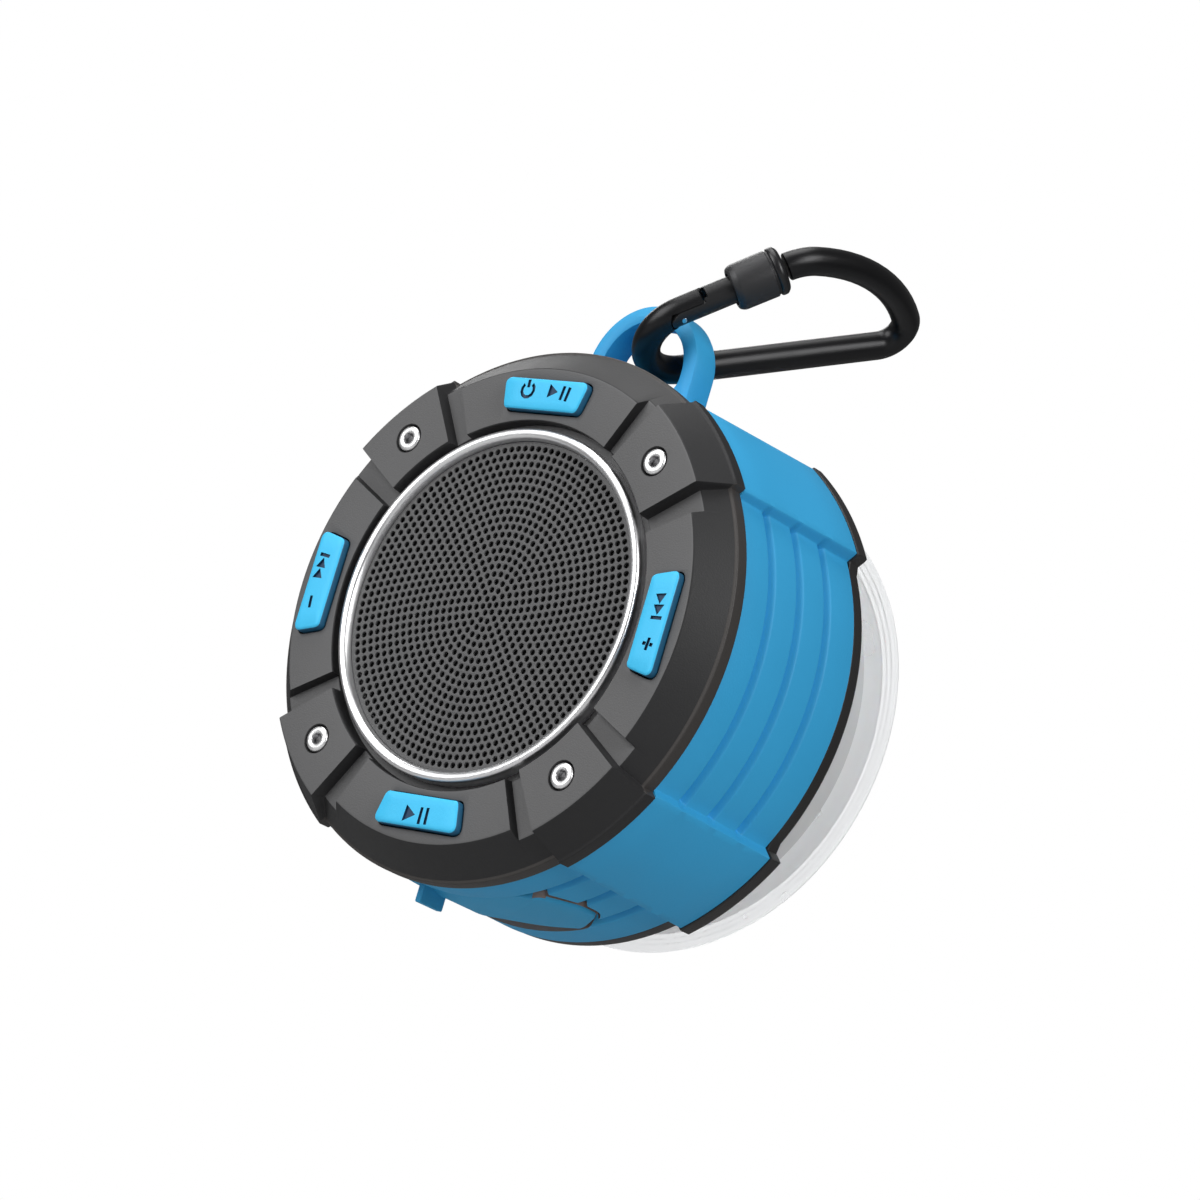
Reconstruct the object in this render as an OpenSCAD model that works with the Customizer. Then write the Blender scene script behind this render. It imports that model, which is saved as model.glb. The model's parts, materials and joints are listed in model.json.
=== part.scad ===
// Shower speaker with a suction cup, a rubber port flap and a screw-lock carabiner.
// The wall is the plane Y = 0, the front faces -Y and +Z is up. Inside stand() the axes are
// X to the right, Y up and Z out from the wall, so every "off the wall" height is a Z there.

/* [Stand-off from the wall] */
// Height of the black rear cover's back face off the wall
cover_back = 15; // [12:0.5:20]
// Thickness of the rear cover's rim
cover_rim = 2.5; // [2:0.1:3]
// Length of the blue barrel between the rear cover and the front bezel
barrel_length = 27.6; // [27.6:0.1:32]
// Depth of the front bezel from its seam to the faces of the screw pads
bezel_depth = 7.6; // [7.6:0.1:9]

/* [Barrel] */
// Radius of the barrel's bands
barrel_r = 40.4; // [40:0.1:41]
// Radius of the barrel's bore
bore_r = 37.4; // [37:0.1:37.6]
// Radius of the four raised corner panels
panel_r = 42.3; // [42:0.1:42.6]
// Half angle of a corner panel
panel_half = 12; // [10:0.5:14]
// Number of V grooves round the barrel
groove_count = 3; // [2:1:4]
// Depth of a V groove
groove_depth = 1; // [0.6:0.1:1.2]
// Width of a V groove
groove_width = 2.4; // [1.6:0.1:3]

/* [Hanging loop] */
// Inside radius of the loop's arch
loop_in = 7.5; // [7:0.1:8]
// Width of the loop's band
loop_band = 2.7; // [2.4:0.1:3]
// Thickness of the loop along the barrel
loop_thick = 5.3; // [4:0.1:6]
// Height of the arch centre above the barrel's axis
loop_z = 43; // [42.5:0.1:44]

/* [Bezel] */
// Half angle of a screw pad
pad_half = 11.4; // [10:0.2:12]
// Half angle of a button segment
segment_half = 27.5; // [25:0.5:28]
// Drop of a button segment's face below the screw pads
segment_drop = 0.65; // [0.4:0.05:0.9]
// Drop of the channels beside the pads below the pad faces
channel_drop = 2.1; // [1.8:0.1:2.2]
// Radius of the circle that the screws and the buttons are centred on
screw_circle = 33; // [33:0.1:33.2]

/* [Buttons] */
// Inner radius of a button
button_in = 29.8; // [29.6:0.1:30]
// Outer radius of a button
button_out = 34.7; // [34.4:0.1:34.8]
// Half angle of a button
button_half = 13.2; // [12:0.2:13.4]
// Travel of a button
button_travel = 0.7; // [0.4:0.1:0.7]
// Height of a button above the screw pads' faces
button_proud = 0.6; // [0.4:0.1:1]

/* [Grille] */
// Outer radius of the bright trim ring
trim_r = 26.9; // [26.5:0.1:27]
// Width of the trim ring's band
trim_band = 1.8; // [1.5:0.1:2]
// Rings of holes in the grille
grille_rings = 9; // [6:1:9]
// Distance between rings of holes
grille_pitch = 2.6; // [2.5:0.05:2.65]
// Radius of one grille hole
grille_hole = 0.75; // [0.5:0.05:0.8]

/* [Suction cup] */
// Radius of the cup's rim
cup_r = 37.1; // [35:0.1:38]
// Radius where the cup's thin lip starts
cup_lip_r = 33.4; // [32:0.1:34]
// Radius of the cup's stud where it turns in the rear cover
stud_r = 4; // [3.8:0.1:4.4]

/* [Port flap] */
// Height of the flap's hinge edge off the wall
flap_low = 23.8; // [23:0.1:24.5]
// Height of the flap's far edge off the wall
flap_high = 38.1; // [37.5:0.1:38.2]
// Half width of the flap at its widest
flap_half = 15.3; // [14:0.1:15.5]
// Thickness of the flap
flap_thick = 2; // [1.6:0.1:2.2]

/* [Carabiner] */
// Radius of the carabiner's rod
rod_r = 2.15; // [2:0.05:2.2]
// Radius of the rod's centre line at the narrow end
narrow_r = 6.5; // [6.4:0.1:6.8]
// Radius of the centre line in the corner by the spine
corner_r = 3.8; // [3.6:0.1:4.2]
// Radius of the centre line round the broad back
back_r = 26; // [25:0.5:27]
// Length of the spine's straight
spine_length = 32.8; // [32:0.1:34]
// Angle between the gate and the spine
gate_angle = 23.4; // [23:0.1:24]
// Radius of the locking sleeve
sleeve_r = 3.7; // [3.5:0.1:3.8]
// Travel of the sleeve towards the gate's hinge
sleeve_back = 4.2; // [3:0.1:4.2]
// Roll of the carabiner's plane about the loop's arch
carabiner_roll = 45; // [42:1:48]
// Tilt of the carabiner's spine away from the wall's normal
carabiner_tilt = 39.5; // [35:0.5:45]

/* [Hidden] */
$fn = 96;

// Heights off the wall, from the rear cover to the front
cover_front = cover_back + cover_rim;
seam = cover_front + barrel_length;
pad_face = seam + bezel_depth;
segment_face = pad_face - segment_drop;
channel_floor = pad_face - channel_drop;
lip_top = seam + 2.4;

// Bezel outline: radii at the lip and where the faces turn into the chamfers
lip_r = 40.4;
opening_r = 28;
segment_edge_r = 36;
channel_edge_r = 35.2;
pad_edge_r = 38.1;
pad_r = 41.3;

// Keypad stack, upwards from the barrel's ledge
keypad_in = 28.9;
keypad_out = 35.6;
board_top = seam + 1.2;
dome_h = 0.6;
mat_top = seam + 3.6;
mat_t = 0.7;
flange_t = 0.9;
pocket_top = segment_face - 1.35;
window_gap = 0.2;
corner_c = 1;

// Speaker, from the grille down to the yoke
shelf_top = pad_face - 2.7;
grille_low = shelf_top + 0.6;
grille_t = 0.6;
frame_top = seam + 2.4;
cone_r = 21;
cone_neck_r = 7.9;
former_r = 7.8;
shelf_r = 24.4;
yoke_low = cover_front + 13.6;
plate_low = yoke_low + 5.4;
plate_top = plate_low + 1.4;

// Screws and bosses
shank_r = 1;
pilot_r = 1.03;
head_r = 1.95;
boss_r = 3;

// Boards and battery
main_low = cover_front + 10.1;
main_top = main_low + 1.6;
main_r = 36.6;
socket_h = main_top + 1.4;
cell = [36, 18, 5.6];
cell_z = 17;

// Flap: its hinge line runs along X in the outer face of the barrel
flap_r = barrel_r + 0.5;
flap_in = flap_r - flap_thick;
flap_gap = 0.25;
tab_x = -8.4;
well = [10.5, 5];

// Carabiner centre line: the spine lies on Y = 0 and runs along X from the narrow end
narrow_c = [0, narrow_r];
corner_at = [spine_length, corner_r];
turn_a = -64.3;
turn_b = -11;
function side(a) = [-sin(a), cos(a)];
back_c = corner_at + (corner_r - back_r) * side(turn_a);
back_end = back_c + back_r * side(turn_b);
hinge_at = narrow_c + narrow_r * side(gate_angle);
nose_r = (side(gate_angle) * (hinge_at - back_end))
    / (side(gate_angle) * (side(gate_angle) - side(turn_b)));
nose_c = back_end - nose_r * side(turn_b);
nose_start = nose_c + nose_r * side(gate_angle);
gate_length = norm(nose_start - hinge_at);
// Where the loop's shoulder passes through the narrow end
shoulder_at = [1.25, 6.25];
loop_mid_h = cover_front + 14.2;
shoulder_r = loop_in + loop_band / 2;

// Gate: slotted over the body's tang, with a stop lip above it
gate_r = 2.1;
tang_half = 0.9;
slot_half = 0.97;
pin_r = 0.6;
pin_hole_r = 0.64;
leg_r = 1.9;
lip_low = 1.5;
lip_end = 3.6;
gate_start = 3.75;
slot_end = 4.4;
gate_open = 25;
gate_tip = gate_length - 0.25;
thread_r = 2.5;
sleeve_bore = 2.56;
sleeve_low = 8.3;
ring_low = 14.9;
sleeve_high = gate_length - 0.5;
spring_r = 0.8;
spring_wire = 0.2;
spring_turns = 7;
spring_end = 8.8;

module stand() { rotate([90, 0, 0]) children(); }
module on_quarters() { for (k = [0:3]) rotate([0, 0, 90 * k]) children(); }
module on_diagonals() { for (k = [0:3]) rotate([0, 0, 45 + 90 * k]) children(); }

// A flat ring between two radii and two heights
module ring(r_in, r_out, low, high) {
    translate([0, 0, low]) difference() {
        cylinder(r = r_out, h = high - low);
        translate([0, 0, -1]) cylinder(r = r_in, h = high - low + 2);
    }
}

// A disc from one height to another
module disc(r, low, high) { translate([0, 0, low]) cylinder(r = r, h = high - low); }

// A profile of [radius, height] points turned through twice a half angle
module wedge(half, points) {
    rotate([0, 0, -half]) rotate_extrude(angle = 2 * half) polygon(points);
}

// A piece of a flat ring, centred on +X
module sector(r_in, r_out, low, high, half) {
    wedge(half, [[r_in, low], [r_out, low], [r_out, high], [r_in, high]]);
}

// A sector with round corners
module soft_sector(r_in, r_out, low, high, half, c) {
    in_turn = asin(c / (r_in + c));
    out_turn = asin(c / (r_out - c));
    sector(r_in + c, r_out - c, low, high, half);
    sector(r_in, r_in + c + 0.01, low, high, half - in_turn);
    sector(r_out - c - 0.01, r_out, low, high, half - out_turn);
    for (s = [-1, 1]) {
        rotate([0, 0, s * (half - in_turn)]) translate([r_in + c, 0, low])
            cylinder(r = c, h = high - low);
        rotate([0, 0, s * (half - out_turn)]) translate([r_out - c, 0, low])
            cylinder(r = c, h = high - low);
    }
}

// Everything lower than the barrel's skin at the bottom, inside the flap's six-sided outline
module flap_outline(grow) {
    wide = flap_half + grow;
    front = wide - 2;
    back = wide - 4.2;
    rotate([90, 0, 0]) linear_extrude(height = 60) polygon([
        [-back, flap_low - grow], [back, flap_low - grow], [wide, flap_low + 3],
        [wide, flap_high - 7], [front, flap_high + grow], [-front, flap_high + grow],
        [-wide, flap_high - 7], [-wide, flap_low + 3]]);
}

// Barrel shell with the loop on top and the port's seat at the bottom
module housing() color([0.23, 0.6, 0.82]) stand() difference() {
    union() {
        barrel_shell();
        hanging_loop();
        intersection() {
            ring(main_r + 0.3, barrel_r - 0.2, flap_low - 2, flap_high + 1.4);
            translate([-18, -60, 0]) cube([36, 60, 60]);
        }
    }
    intersection() {
        ring(flap_in - 0.2, 60, flap_low - 3, flap_high + 3);
        flap_outline(flap_gap);
    }
    translate([-well[0] / 2, -39.5, socket_h - well[1] / 2]) cube([well[0], 2.2, well[1]]);
    translate([-4.1, -39.5, socket_h - 1.7]) cube([8.2, 10, 3.4]);
}

module barrel_shell() {
    band = barrel_length / (groove_count + 1);
    half = groove_width / 2;
    difference() {
        union() {
            difference() {
                disc(barrel_r, cover_front, seam);
                rotate_extrude() for (k = [1:groove_count]) translate([barrel_r, cover_front + k * band])
                    polygon([[0.5, half * 1.5], [0, half], [-groove_depth, 0], [0, -half],
                        [0.5, -half * 1.5]]);
            }
            on_diagonals() sector(38, panel_r, cover_front, seam, panel_half);
        }
        translate([0, 0, cover_front - 1]) cylinder(r = bore_r, h = barrel_length + 2);
        for (h = [cover_front - 0.1, seam - 0.9]) ring(38.35, 39.45, h, h + 1);
    }
    // Ledge that carries the keypad board
    ring(34.5, bore_r + 0.1, seam - 1.6, seam);
    // Bosses for the screws of both ends
    boss_top = seam - 0.3;
    on_diagonals() difference() {
        union() {
            translate([screw_circle, 0, main_top]) cylinder(r = boss_r, h = boss_top - main_top);
            translate([screw_circle, -1, main_top])
                cube([bore_r - screw_circle + 0.3, 2, boss_top - main_top - 0.5]);
        }
        translate([screw_circle, 0, main_top - 1]) cylinder(r = pilot_r, h = 8);
        translate([screw_circle, 0, seam - 8]) cylinder(r = pilot_r, h = 9);
    }
}

module hanging_loop() {
    out = loop_in + loop_band;
    fillet = 3;
    foot = sqrt(pow(barrel_r, 2) - pow(out, 2)) - 0.5;
    translate([0, 0, loop_mid_h - loop_thick / 2]) linear_extrude(height = loop_thick) difference() {
        union() {
            translate([0, loop_z]) circle(r = out);
            translate([-out, foot]) square([2 * out, loop_z - foot]);
            translate([-out - fillet, foot - 1]) square([2 * (out + fillet), fillet]);
        }
        translate([0, loop_z]) circle(r = loop_in);
        translate([-loop_in, foot + 1.2]) square([2 * loop_in, loop_z - foot - 1.2]);
        for (s = [-1, 1]) translate([s * (out + fillet), foot - 1 + fillet]) circle(r = fillet - 0.01);
        translate([-20, 0]) square([40, 37.8]);
    }
}

// Front ring: screw pads, button segments and the channels between them
module front_bezel() color([0.24, 0.25, 0.26]) stand() difference() {
    union() {
        bezel_face();
        // Wall between the speaker and the keypad, and the shelf under the trim ring
        ring(25.9, opening_r + 0.9, frame_top + 0.2, shelf_top - 0.4);
        ring(shelf_r, opening_r + 0.5, shelf_top - 0.8, shelf_top);
        ring(27.6, keypad_in, seam + 0.4, frame_top + 0.3);
    }
    // Keypad space with the screw bosses left standing in it
    difference() {
        ring(keypad_in, keypad_out, seam - 1, mat_top);
        on_diagonals() translate([screw_circle, 0, 0]) cylinder(r = boss_r, h = 60);
    }
    on_quarters() {
        sector(keypad_in + 0.1, keypad_out - 0.3, mat_top - 0.1, pocket_top, 16);
        soft_sector(button_in - window_gap, button_out + window_gap, pocket_top - 0.1,
            pad_face + 1, button_half + 0.4, corner_c + window_gap);
    }
    on_diagonals() translate([screw_circle, 0, 0]) {
        translate([0, 0, seam - 1]) cylinder(r = shank_r + 0.1, h = 10);
        translate([0, 0, pad_face - 1.8]) cylinder(r = head_r + 0.22, h = 3);
    }
}

// The bezel's outer form: a turned ring with the pads added and the channels cut
module bezel_face() {
    channel_half = (45 - pad_half - segment_half) / 2;
    spare = 0.3;
    difference() {
        union() {
            rotate_extrude() polygon([[opening_r - 1, seam + 0.9], [opening_r - 1, segment_face],
                [segment_edge_r, segment_face], [segment_edge_r + 4.1, lip_top],
                [lip_r, lip_top], [lip_r, seam], [bore_r - 0.1, seam], [keypad_out, seam + 0.9]]);
            on_diagonals() wedge(pad_half + spare, [[opening_r - 0.5, channel_floor - 1],
                [opening_r - 0.5, pad_face], [pad_edge_r, pad_face], [pad_r, lip_top],
                [pad_r, seam + 1], [39, seam + 1]]);
        }
        translate([0, 0, seam - 1]) cylinder(r = opening_r, h = 20);
        on_diagonals() for (s = [-1, 1]) rotate([0, 0, s * (pad_half + channel_half)])
            wedge(channel_half, [[opening_r - 2, channel_floor], [channel_edge_r, channel_floor],
                [channel_edge_r + 3.2, lip_top + 0.1], [45, lip_top + 0.1],
                [45, pad_face + 2], [opening_r - 2, pad_face + 2]]);
    }
}

// Bright ring with a foot that holds the grille
module trim_ring() color([0.86, 0.87, 0.88]) stand() {
    inner = trim_r - trim_band;
    crest = pad_face - 0.3;
    rotate_extrude() polygon([[inner - 0.9, shelf_top], [trim_r, shelf_top],
        [trim_r, crest - 0.5], [trim_r - 0.5, crest], [inner + 0.6, crest],
        [inner, crest - 0.8], [inner, grille_low], [inner - 0.9, grille_low]]);
}

module grille() color([0.3, 0.31, 0.32]) stand() {
    translate([0, 0, grille_low]) linear_extrude(height = grille_t) difference() {
        circle(r = trim_r - trim_band - 0.05);
        circle(r = grille_hole, $fn = 16);
        for (n = [1:grille_rings]) for (k = [0:6 * n - 1]) rotate(60 * k / n)
            translate([n * grille_pitch, 0]) circle(r = grille_hole, $fn = 16);
    }
}

module acoustic_mesh() color([0.05, 0.05, 0.05]) stand()
    disc(shelf_r - 0.5, shelf_top + 0.2, shelf_top + 0.55);

// One button cap: the part through the window on a wider flange
module button_cap(turn) {
    low = pocket_top - 0.1 - flange_t;
    stand() rotate([0, 0, turn]) {
        soft_sector(button_in, button_out, low, pad_face + button_proud, button_half, corner_c);
        sector(button_in - 0.5, button_out + 0.4, low, low + flange_t, button_half + 2);
    }
}

module button_power() color([0.3, 0.78, 0.98]) button_cap(90);
module button_volume_down() color([0.3, 0.78, 0.98]) button_cap(180);
module button_volume_up() color([0.3, 0.78, 0.98]) button_cap(0);
module button_play() color([0.3, 0.78, 0.98]) button_cap(270);

// Rubber sheet under the buttons, with rims down to the board and a pip over each dome
module keypad_mat() color([0.12, 0.12, 0.13]) stand() difference() {
    union() {
        ring(keypad_in + 0.1, keypad_out - 0.1, mat_top - mat_t, mat_top);
        ring(keypad_in + 0.1, keypad_in + 0.8, board_top, mat_top - mat_t + 0.1);
        ring(keypad_out - 0.8, keypad_out - 0.1, board_top, mat_top - mat_t + 0.1);
        on_quarters() translate([screw_circle - 0.7, 0, board_top + dome_h + 0.05])
            cylinder(r = 1.2, h = mat_top - board_top - dome_h - 0.3);
    }
    on_diagonals() translate([screw_circle, 0, seam]) cylinder(r = boss_r + 0.2, h = 9);
}

module keypad_board() color([0.1, 0.36, 0.2]) stand() difference() {
    ring(keypad_in + 0.1, keypad_out - 0.1, seam, board_top);
    on_diagonals() translate([screw_circle, 0, seam - 1]) cylinder(r = boss_r + 0.2, h = 4);
}

module dome_switches() color([0.8, 0.8, 0.78]) stand() on_quarters()
    translate([screw_circle - 0.7, 0, board_top]) {
        cylinder(r = 2.2, h = 0.25);
        cylinder(r1 = 1.9, r2 = 0.9, h = dome_h);
    }

// A screw that points along -Z, with its head's face at the origin
module machine_screw(length, head_h) {
    difference() {
        translate([0, 0, -head_h]) cylinder(r = head_r, h = head_h);
        translate([0, 0, -1.1]) cylinder(r = 0.85, h = 2, $fn = 6);
    }
    translate([0, 0, -length]) cylinder(r = shank_r, h = length - head_h + 0.1);
}

module bezel_screws() color([0.9, 0.9, 0.91]) stand() on_diagonals()
    translate([screw_circle, 0, pad_face + 0.2]) machine_screw(14, 2);

// A round rubber seal in its groove
module seal(h) color([0.08, 0.08, 0.08]) stand()
    rotate_extrude() translate([38.9, h]) circle(r = 0.42, $fn = 24);

module front_seal() seal(seam - 0.45);
module rear_seal() seal(cover_front + 0.45);

// Pressed steel basket: flange, cone with six windows and a seat for the top plate
module speaker_frame() color([0.18, 0.18, 0.19]) stand() difference() {
    rotate_extrude() polygon([[9, plate_top], [9, plate_top + 0.8], [15.4, plate_top + 0.8],
        [18.4, plate_top + 3], [16.4, plate_top + 3], [16.4, plate_top + 3.8], [19.4, plate_top + 3.8],
        [23.2, frame_top], [27.4, frame_top], [27.4, frame_top - 1], [23.9, frame_top - 1],
        [16.2, plate_top]]);
    for (k = [0:5]) rotate([0, 0, 60 * k])
        sector(19.7, 22.6, plate_top + 2, frame_top - 1.6, 16);
}

// Half-roll rubber edge between the frame and the cone
module speaker_surround() color([0.06, 0.06, 0.06]) stand() {
    mid = 23.45;
    rotate_extrude() difference() {
        union() {
            translate([mid, frame_top]) circle(r = 1.6, $fn = 32);
            translate([mid + 1, frame_top]) square([1.35, 0.5]);
        }
        translate([mid, frame_top]) circle(r = 1.15, $fn = 32);
        translate([mid - 4, frame_top - 3]) square([8, 3]);
    }
}

module speaker_cone() color([0.12, 0.12, 0.13]) stand() {
    neck = plate_top + 5.2;
    rotate_extrude() polygon([[cone_neck_r, neck], [cone_r, frame_top + 0.2],
        [cone_r, frame_top + 0.8], [cone_neck_r, neck + 0.9]]);
}

module dust_cap() color([0.1, 0.1, 0.11]) stand() {
    low = plate_top + 7;
    sink = 9;
    translate([0, 0, low - sink]) intersection() {
        difference() {
            sphere(r = 12);
            sphere(r = 11.5);
        }
        translate([0, 0, sink]) cylinder(r = 12, h = 6);
    }
}

module voice_coil() color([0.75, 0.45, 0.2]) stand() {
    ring(former_r - 0.3, former_r, plate_low - 1, plate_top + 6);
    ring(former_r, former_r + 0.5, plate_low - 0.6, plate_top + 0.6);
}

// Corrugated cloth disc that centres the coil
module spider() color([0.7, 0.55, 0.3]) stand() {
    low = plate_top + 3.8;
    ring(8.2, 9.2, low, low + 0.4);
    for (k = [0:2]) {
        ring(9.1 + 2.4 * k, 10.5 + 2.4 * k, low + 0.3, low + 0.7);
        ring(10.4 + 2.4 * k, 11.6 + 2.4 * k, low, low + 0.4);
    }
    ring(16.3, 19, low, low + 0.4);
}

module top_plate() color([0.55, 0.56, 0.57]) stand() ring(8.7, 15, plate_low, plate_top);

module magnet() color([0.2, 0.2, 0.21]) stand() ring(9.8, 15, yoke_low + 1.5, plate_low);

module yoke() color([0.55, 0.56, 0.57]) stand() {
    disc(14.4, yoke_low, yoke_low + 1.5);
    disc(7.1, yoke_low, plate_top);
}

// Main board, clamped between the rear cover's posts and the barrel's bosses
module main_board() color([0.08, 0.32, 0.18]) stand() difference() {
    disc(main_r, main_low, main_top);
    on_diagonals() translate([screw_circle, 0, main_low - 1]) cylinder(r = 1.3, h = 4);
    translate([-19, -60, main_low - 1]) cube([38, 60 - 35.4, 4]);
}

module bluetooth_module() color([0.15, 0.2, 0.45]) stand() {
    translate([-20, -22, main_low - 0.9]) cube([13, 16, 0.9]);
    translate([-18, -20, main_low - 2.2]) cube([9, 9, 1.4]);
}

// Micro charging socket: a folded metal shell round a plastic tongue
module charging_socket() color([0.75, 0.76, 0.77]) stand() {
    translate([0, 0, main_top]) difference() {
        translate([-3.8, -36.4, 0]) cube([7.6, 5.4, 2.8]);
        translate([-3.4, -37, 0.4]) cube([6.8, 5.2, 2]);
    }
    translate([-2.6, -36, main_top + 1.5]) cube([5.2, 4.4, 0.5]);
}

module microphone() color([0.7, 0.7, 0.68]) stand()
    translate([14, -26, main_top]) cylinder(r = 3, h = 2.2);

module battery() color([0.72, 0.74, 0.76]) stand()
    translate([-cell[0] / 2, cell_z - cell[1] / 2, main_low - 1 - cell[2]]) cube(cell);

module battery_pad() color([0.2, 0.2, 0.2]) stand()
    translate([-cell[0] / 2 + 1, cell_z - cell[1] / 2 + 1, main_low - 1])
        cube([cell[0] - 2, cell[1] - 2, 1]);

// A straight run of wire between two points
module run(a, b, r) {
    d = b - a;
    translate(a) rotate([0, acos(d[2] / norm(d)), atan2(d[1], d[0])])
        cylinder(r = r, h = norm(d), $fn = 24);
    translate(b) sphere(r = 1.3 * r, $fn = 24);
}

// Two leads from the main board up the outside of the magnet to the basket's tags
module speaker_leads() color([0.75, 0.12, 0.1]) stand() for (s = [-1, 1]) {
    x = 6 * s;
    run([x, 24, main_top], [x, 24, plate_low], 0.5);
    run([x, 24, plate_low], [x, 20.6, plate_top + 3.2], 0.5);
}

// Rear cover: rim flush with the barrel, posts for the board and a hub for the cup's stud
module rear_cover() color([0.07, 0.07, 0.075]) stand() difference() {
    union() {
        disc(barrel_r - 0.1, cover_back, cover_front);
        on_diagonals() sector(38, panel_r + 0.3, cover_back, cover_front, panel_half + 0.5);
        ring(35.4, bore_r - 0.15, cover_front - 0.1, cover_front + 2);
        on_diagonals() translate([screw_circle, 0, cover_front - 0.1])
            cylinder(r = boss_r, h = main_low - cover_front + 0.1);
    }
    translate([0, 0, cover_back - 1]) cylinder(r = stud_r + 0.06, h = 9);
    on_diagonals() translate([screw_circle, 0, 0]) {
        translate([0, 0, cover_back - 1]) cylinder(r = shank_r + 0.1, h = 20);
        translate([0, 0, cover_back - 1]) cylinder(r = head_r + 0.2, h = 2.8);
    }
}

module rear_screws() color([0.3, 0.3, 0.31]) stand() on_diagonals()
    translate([screw_circle, 0, cover_back + 0.2]) rotate([180, 0, 0]) machine_screw(19, 1.6);

// Rubber flap over the port, with an inner plug and a pull tab
module port_flap() color([0.2, 0.55, 0.76]) stand() {
    intersection() {
        ring(flap_in, flap_r, flap_low - 1, flap_high + 1);
        flap_outline(0);
    }
    translate([-4.3, -flap_in - 0.3, socket_h - 1.5]) cube([8.6, 1.7, 3]);
    translate([tab_x - 0.6, -41.8, flap_high - 5]) cube([1.2, 3.2, 5.2]);
}

// Spring clip that snaps round the stud inside the cover
module cup_clip() color([0.6, 0.6, 0.6]) stand() difference() {
    ring(stud_r - 0.9, stud_r + 2.2, cover_front + 0.1, cover_front + 0.8);
    translate([-1.6, -8, cover_front]) cube([3.2, 6, 2]);
}

// Bell of soft clear rubber with a flat sealing face at the wall
module suction_cup() color([0.86, 0.88, 0.88]) stand() {
    top = cover_back - 0.3;
    rotate_extrude() polygon(concat(
        [[stud_r + 0.02, top - 2.6], [stud_r + 0.02, top], [9, top]],
        [for (k = [0:8]) let (a = 10 * k) [11 + (cup_lip_r - 12.5) * sin(a), 3 + (top - 3.6) * cos(a)]],
        [[cup_lip_r, 2.2], [cup_r, 1], [cup_r, 0], [cup_r - 2.6, 0]],
        [for (k = [8:-1:0]) let (a = 10 * k)
            [9 + (cup_lip_r - 12.3) * sin(a), 2 + (top - 6) * cos(a)]],
        [[7.2, top - 4], [7.2, top - 2.6]]));
}

// Moulded-in stud that turns in the rear cover
module cup_stud() color([0.82, 0.84, 0.84]) stand() difference() {
    union() {
        disc(7.1, cover_back - 4.2, cover_back - 2.95);
        disc(stud_r, cover_back - 3, cover_front + 1.6);
    }
    ring(stud_r - 0.92, stud_r + 1, cover_front + 0.08, cover_front + 0.82);
}

// Places the carabiner, whose own plane is XY, on the loop's shoulder
module on_loop() {
    stand() translate([0, loop_z, 0]) rotate([0, 0, carabiner_roll])
        translate([shoulder_r, 0, loop_mid_h]) rotate([90, 0, 0]) rotate([0, 0, carabiner_tilt - 90])
        translate([-shoulder_at[0], -shoulder_at[1], 0]) children();
}

// Places a child with its X along the gate and its origin at the hinge pin
module on_gate() { translate([hinge_at[0], hinge_at[1], 0]) rotate([0, 0, gate_angle]) children(); }

// A bend of round rod of radius r from one heading to another round a centre
module bend(centre, radius, from, to, r) {
    translate([centre[0], centre[1], 0]) rotate([0, 0, from + 90])
        rotate_extrude(angle = to - from) translate([radius, 0]) circle(r = r, $fn = 48);
}

module rod(length, r) { rotate([0, 90, 0]) cylinder(r = r, h = length, $fn = 48); }

// Bent from one rod: the straights and the broad back run a little way into the tight bends
module carabiner_body() color([0.13, 0.13, 0.14]) on_loop() {
    lap = 0.05;
    lap_turn = 0.15;
    thin_r = rod_r - 0.01;
    translate([-lap, 0, 0]) rod(spine_length + 2 * lap, thin_r);
    bend(corner_at, corner_r, 180, 360 + turn_a, rod_r);
    bend(back_c, back_r, turn_a - lap_turn, turn_b + lap_turn, thin_r);
    bend(nose_c, nose_r, turn_b, gate_angle, rod_r);
    difference() {
        union() {
            bend(narrow_c, narrow_r, gate_angle, 180, rod_r);
            on_gate() translate([-lap, 0, 0]) rod(lip_end + lap, thin_r);
        }
        on_gate() {
            // Room for the gate's two legs, and for its solid part to swing in
            for (s = [-1, 1]) translate([0, 0, s * (tang_half + 2)]) intersection() {
                union() {
                    cylinder(r = leg_r + 0.2, h = 4, center = true);
                    translate([0, -3, -2]) cube([6, 6, 4]);
                }
                translate([-3, -3, -2]) cube([9, 3 + lip_low, 4]);
            }
            difference() {
                translate([0, -3, -3]) cube([6, 3 + 0.6, 6]);
                cylinder(r = leg_r, h = 8, center = true);
            }
            cylinder(r = pin_hole_r, h = 8, center = true);
        }
    }
}

module gate_pin() color([0.6, 0.6, 0.61]) on_loop() on_gate()
    cylinder(r = pin_r, h = 2 * gate_r - 0.1, center = true);

// Gate rod: two legs over the tang, a threaded stretch under the sleeve and a round tip
module carabiner_gate() color([0.2, 0.2, 0.21]) on_loop() on_gate() difference() {
    union() {
        translate([gate_start, 0, 0]) rod(gate_tip - gate_start, gate_r);
        intersection() {
            union() {
                cylinder(r = leg_r, h = 6, center = true);
                translate([0, -3, -3]) cube([gate_start + 0.2, 6, 6]);
            }
            translate([-3, 0, 0]) rod(9, gate_r);
            translate([-3, -3, -3]) cube([9, 3 + lip_low - 0.12, 6]);
            rotate([0, 0, gate_open + 3]) translate([-4, -6, -3]) cube([12, 6 + lip_low - 0.12, 6]);
        }
        for (k = [0:5]) translate([sleeve_low + 1 + k, 0, 0]) rod(0.6, thread_r);
    }
    translate([-4, -3, -slot_half]) cube([4 + slot_end, 6, 2 * slot_half]);
    cylinder(r = pin_r + 0.01, h = 8, center = true);
    translate([slot_end - 0.1, 0, 0]) rod(spring_end - slot_end + 0.1, spring_r + spring_wire + 0.1);
}

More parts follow.
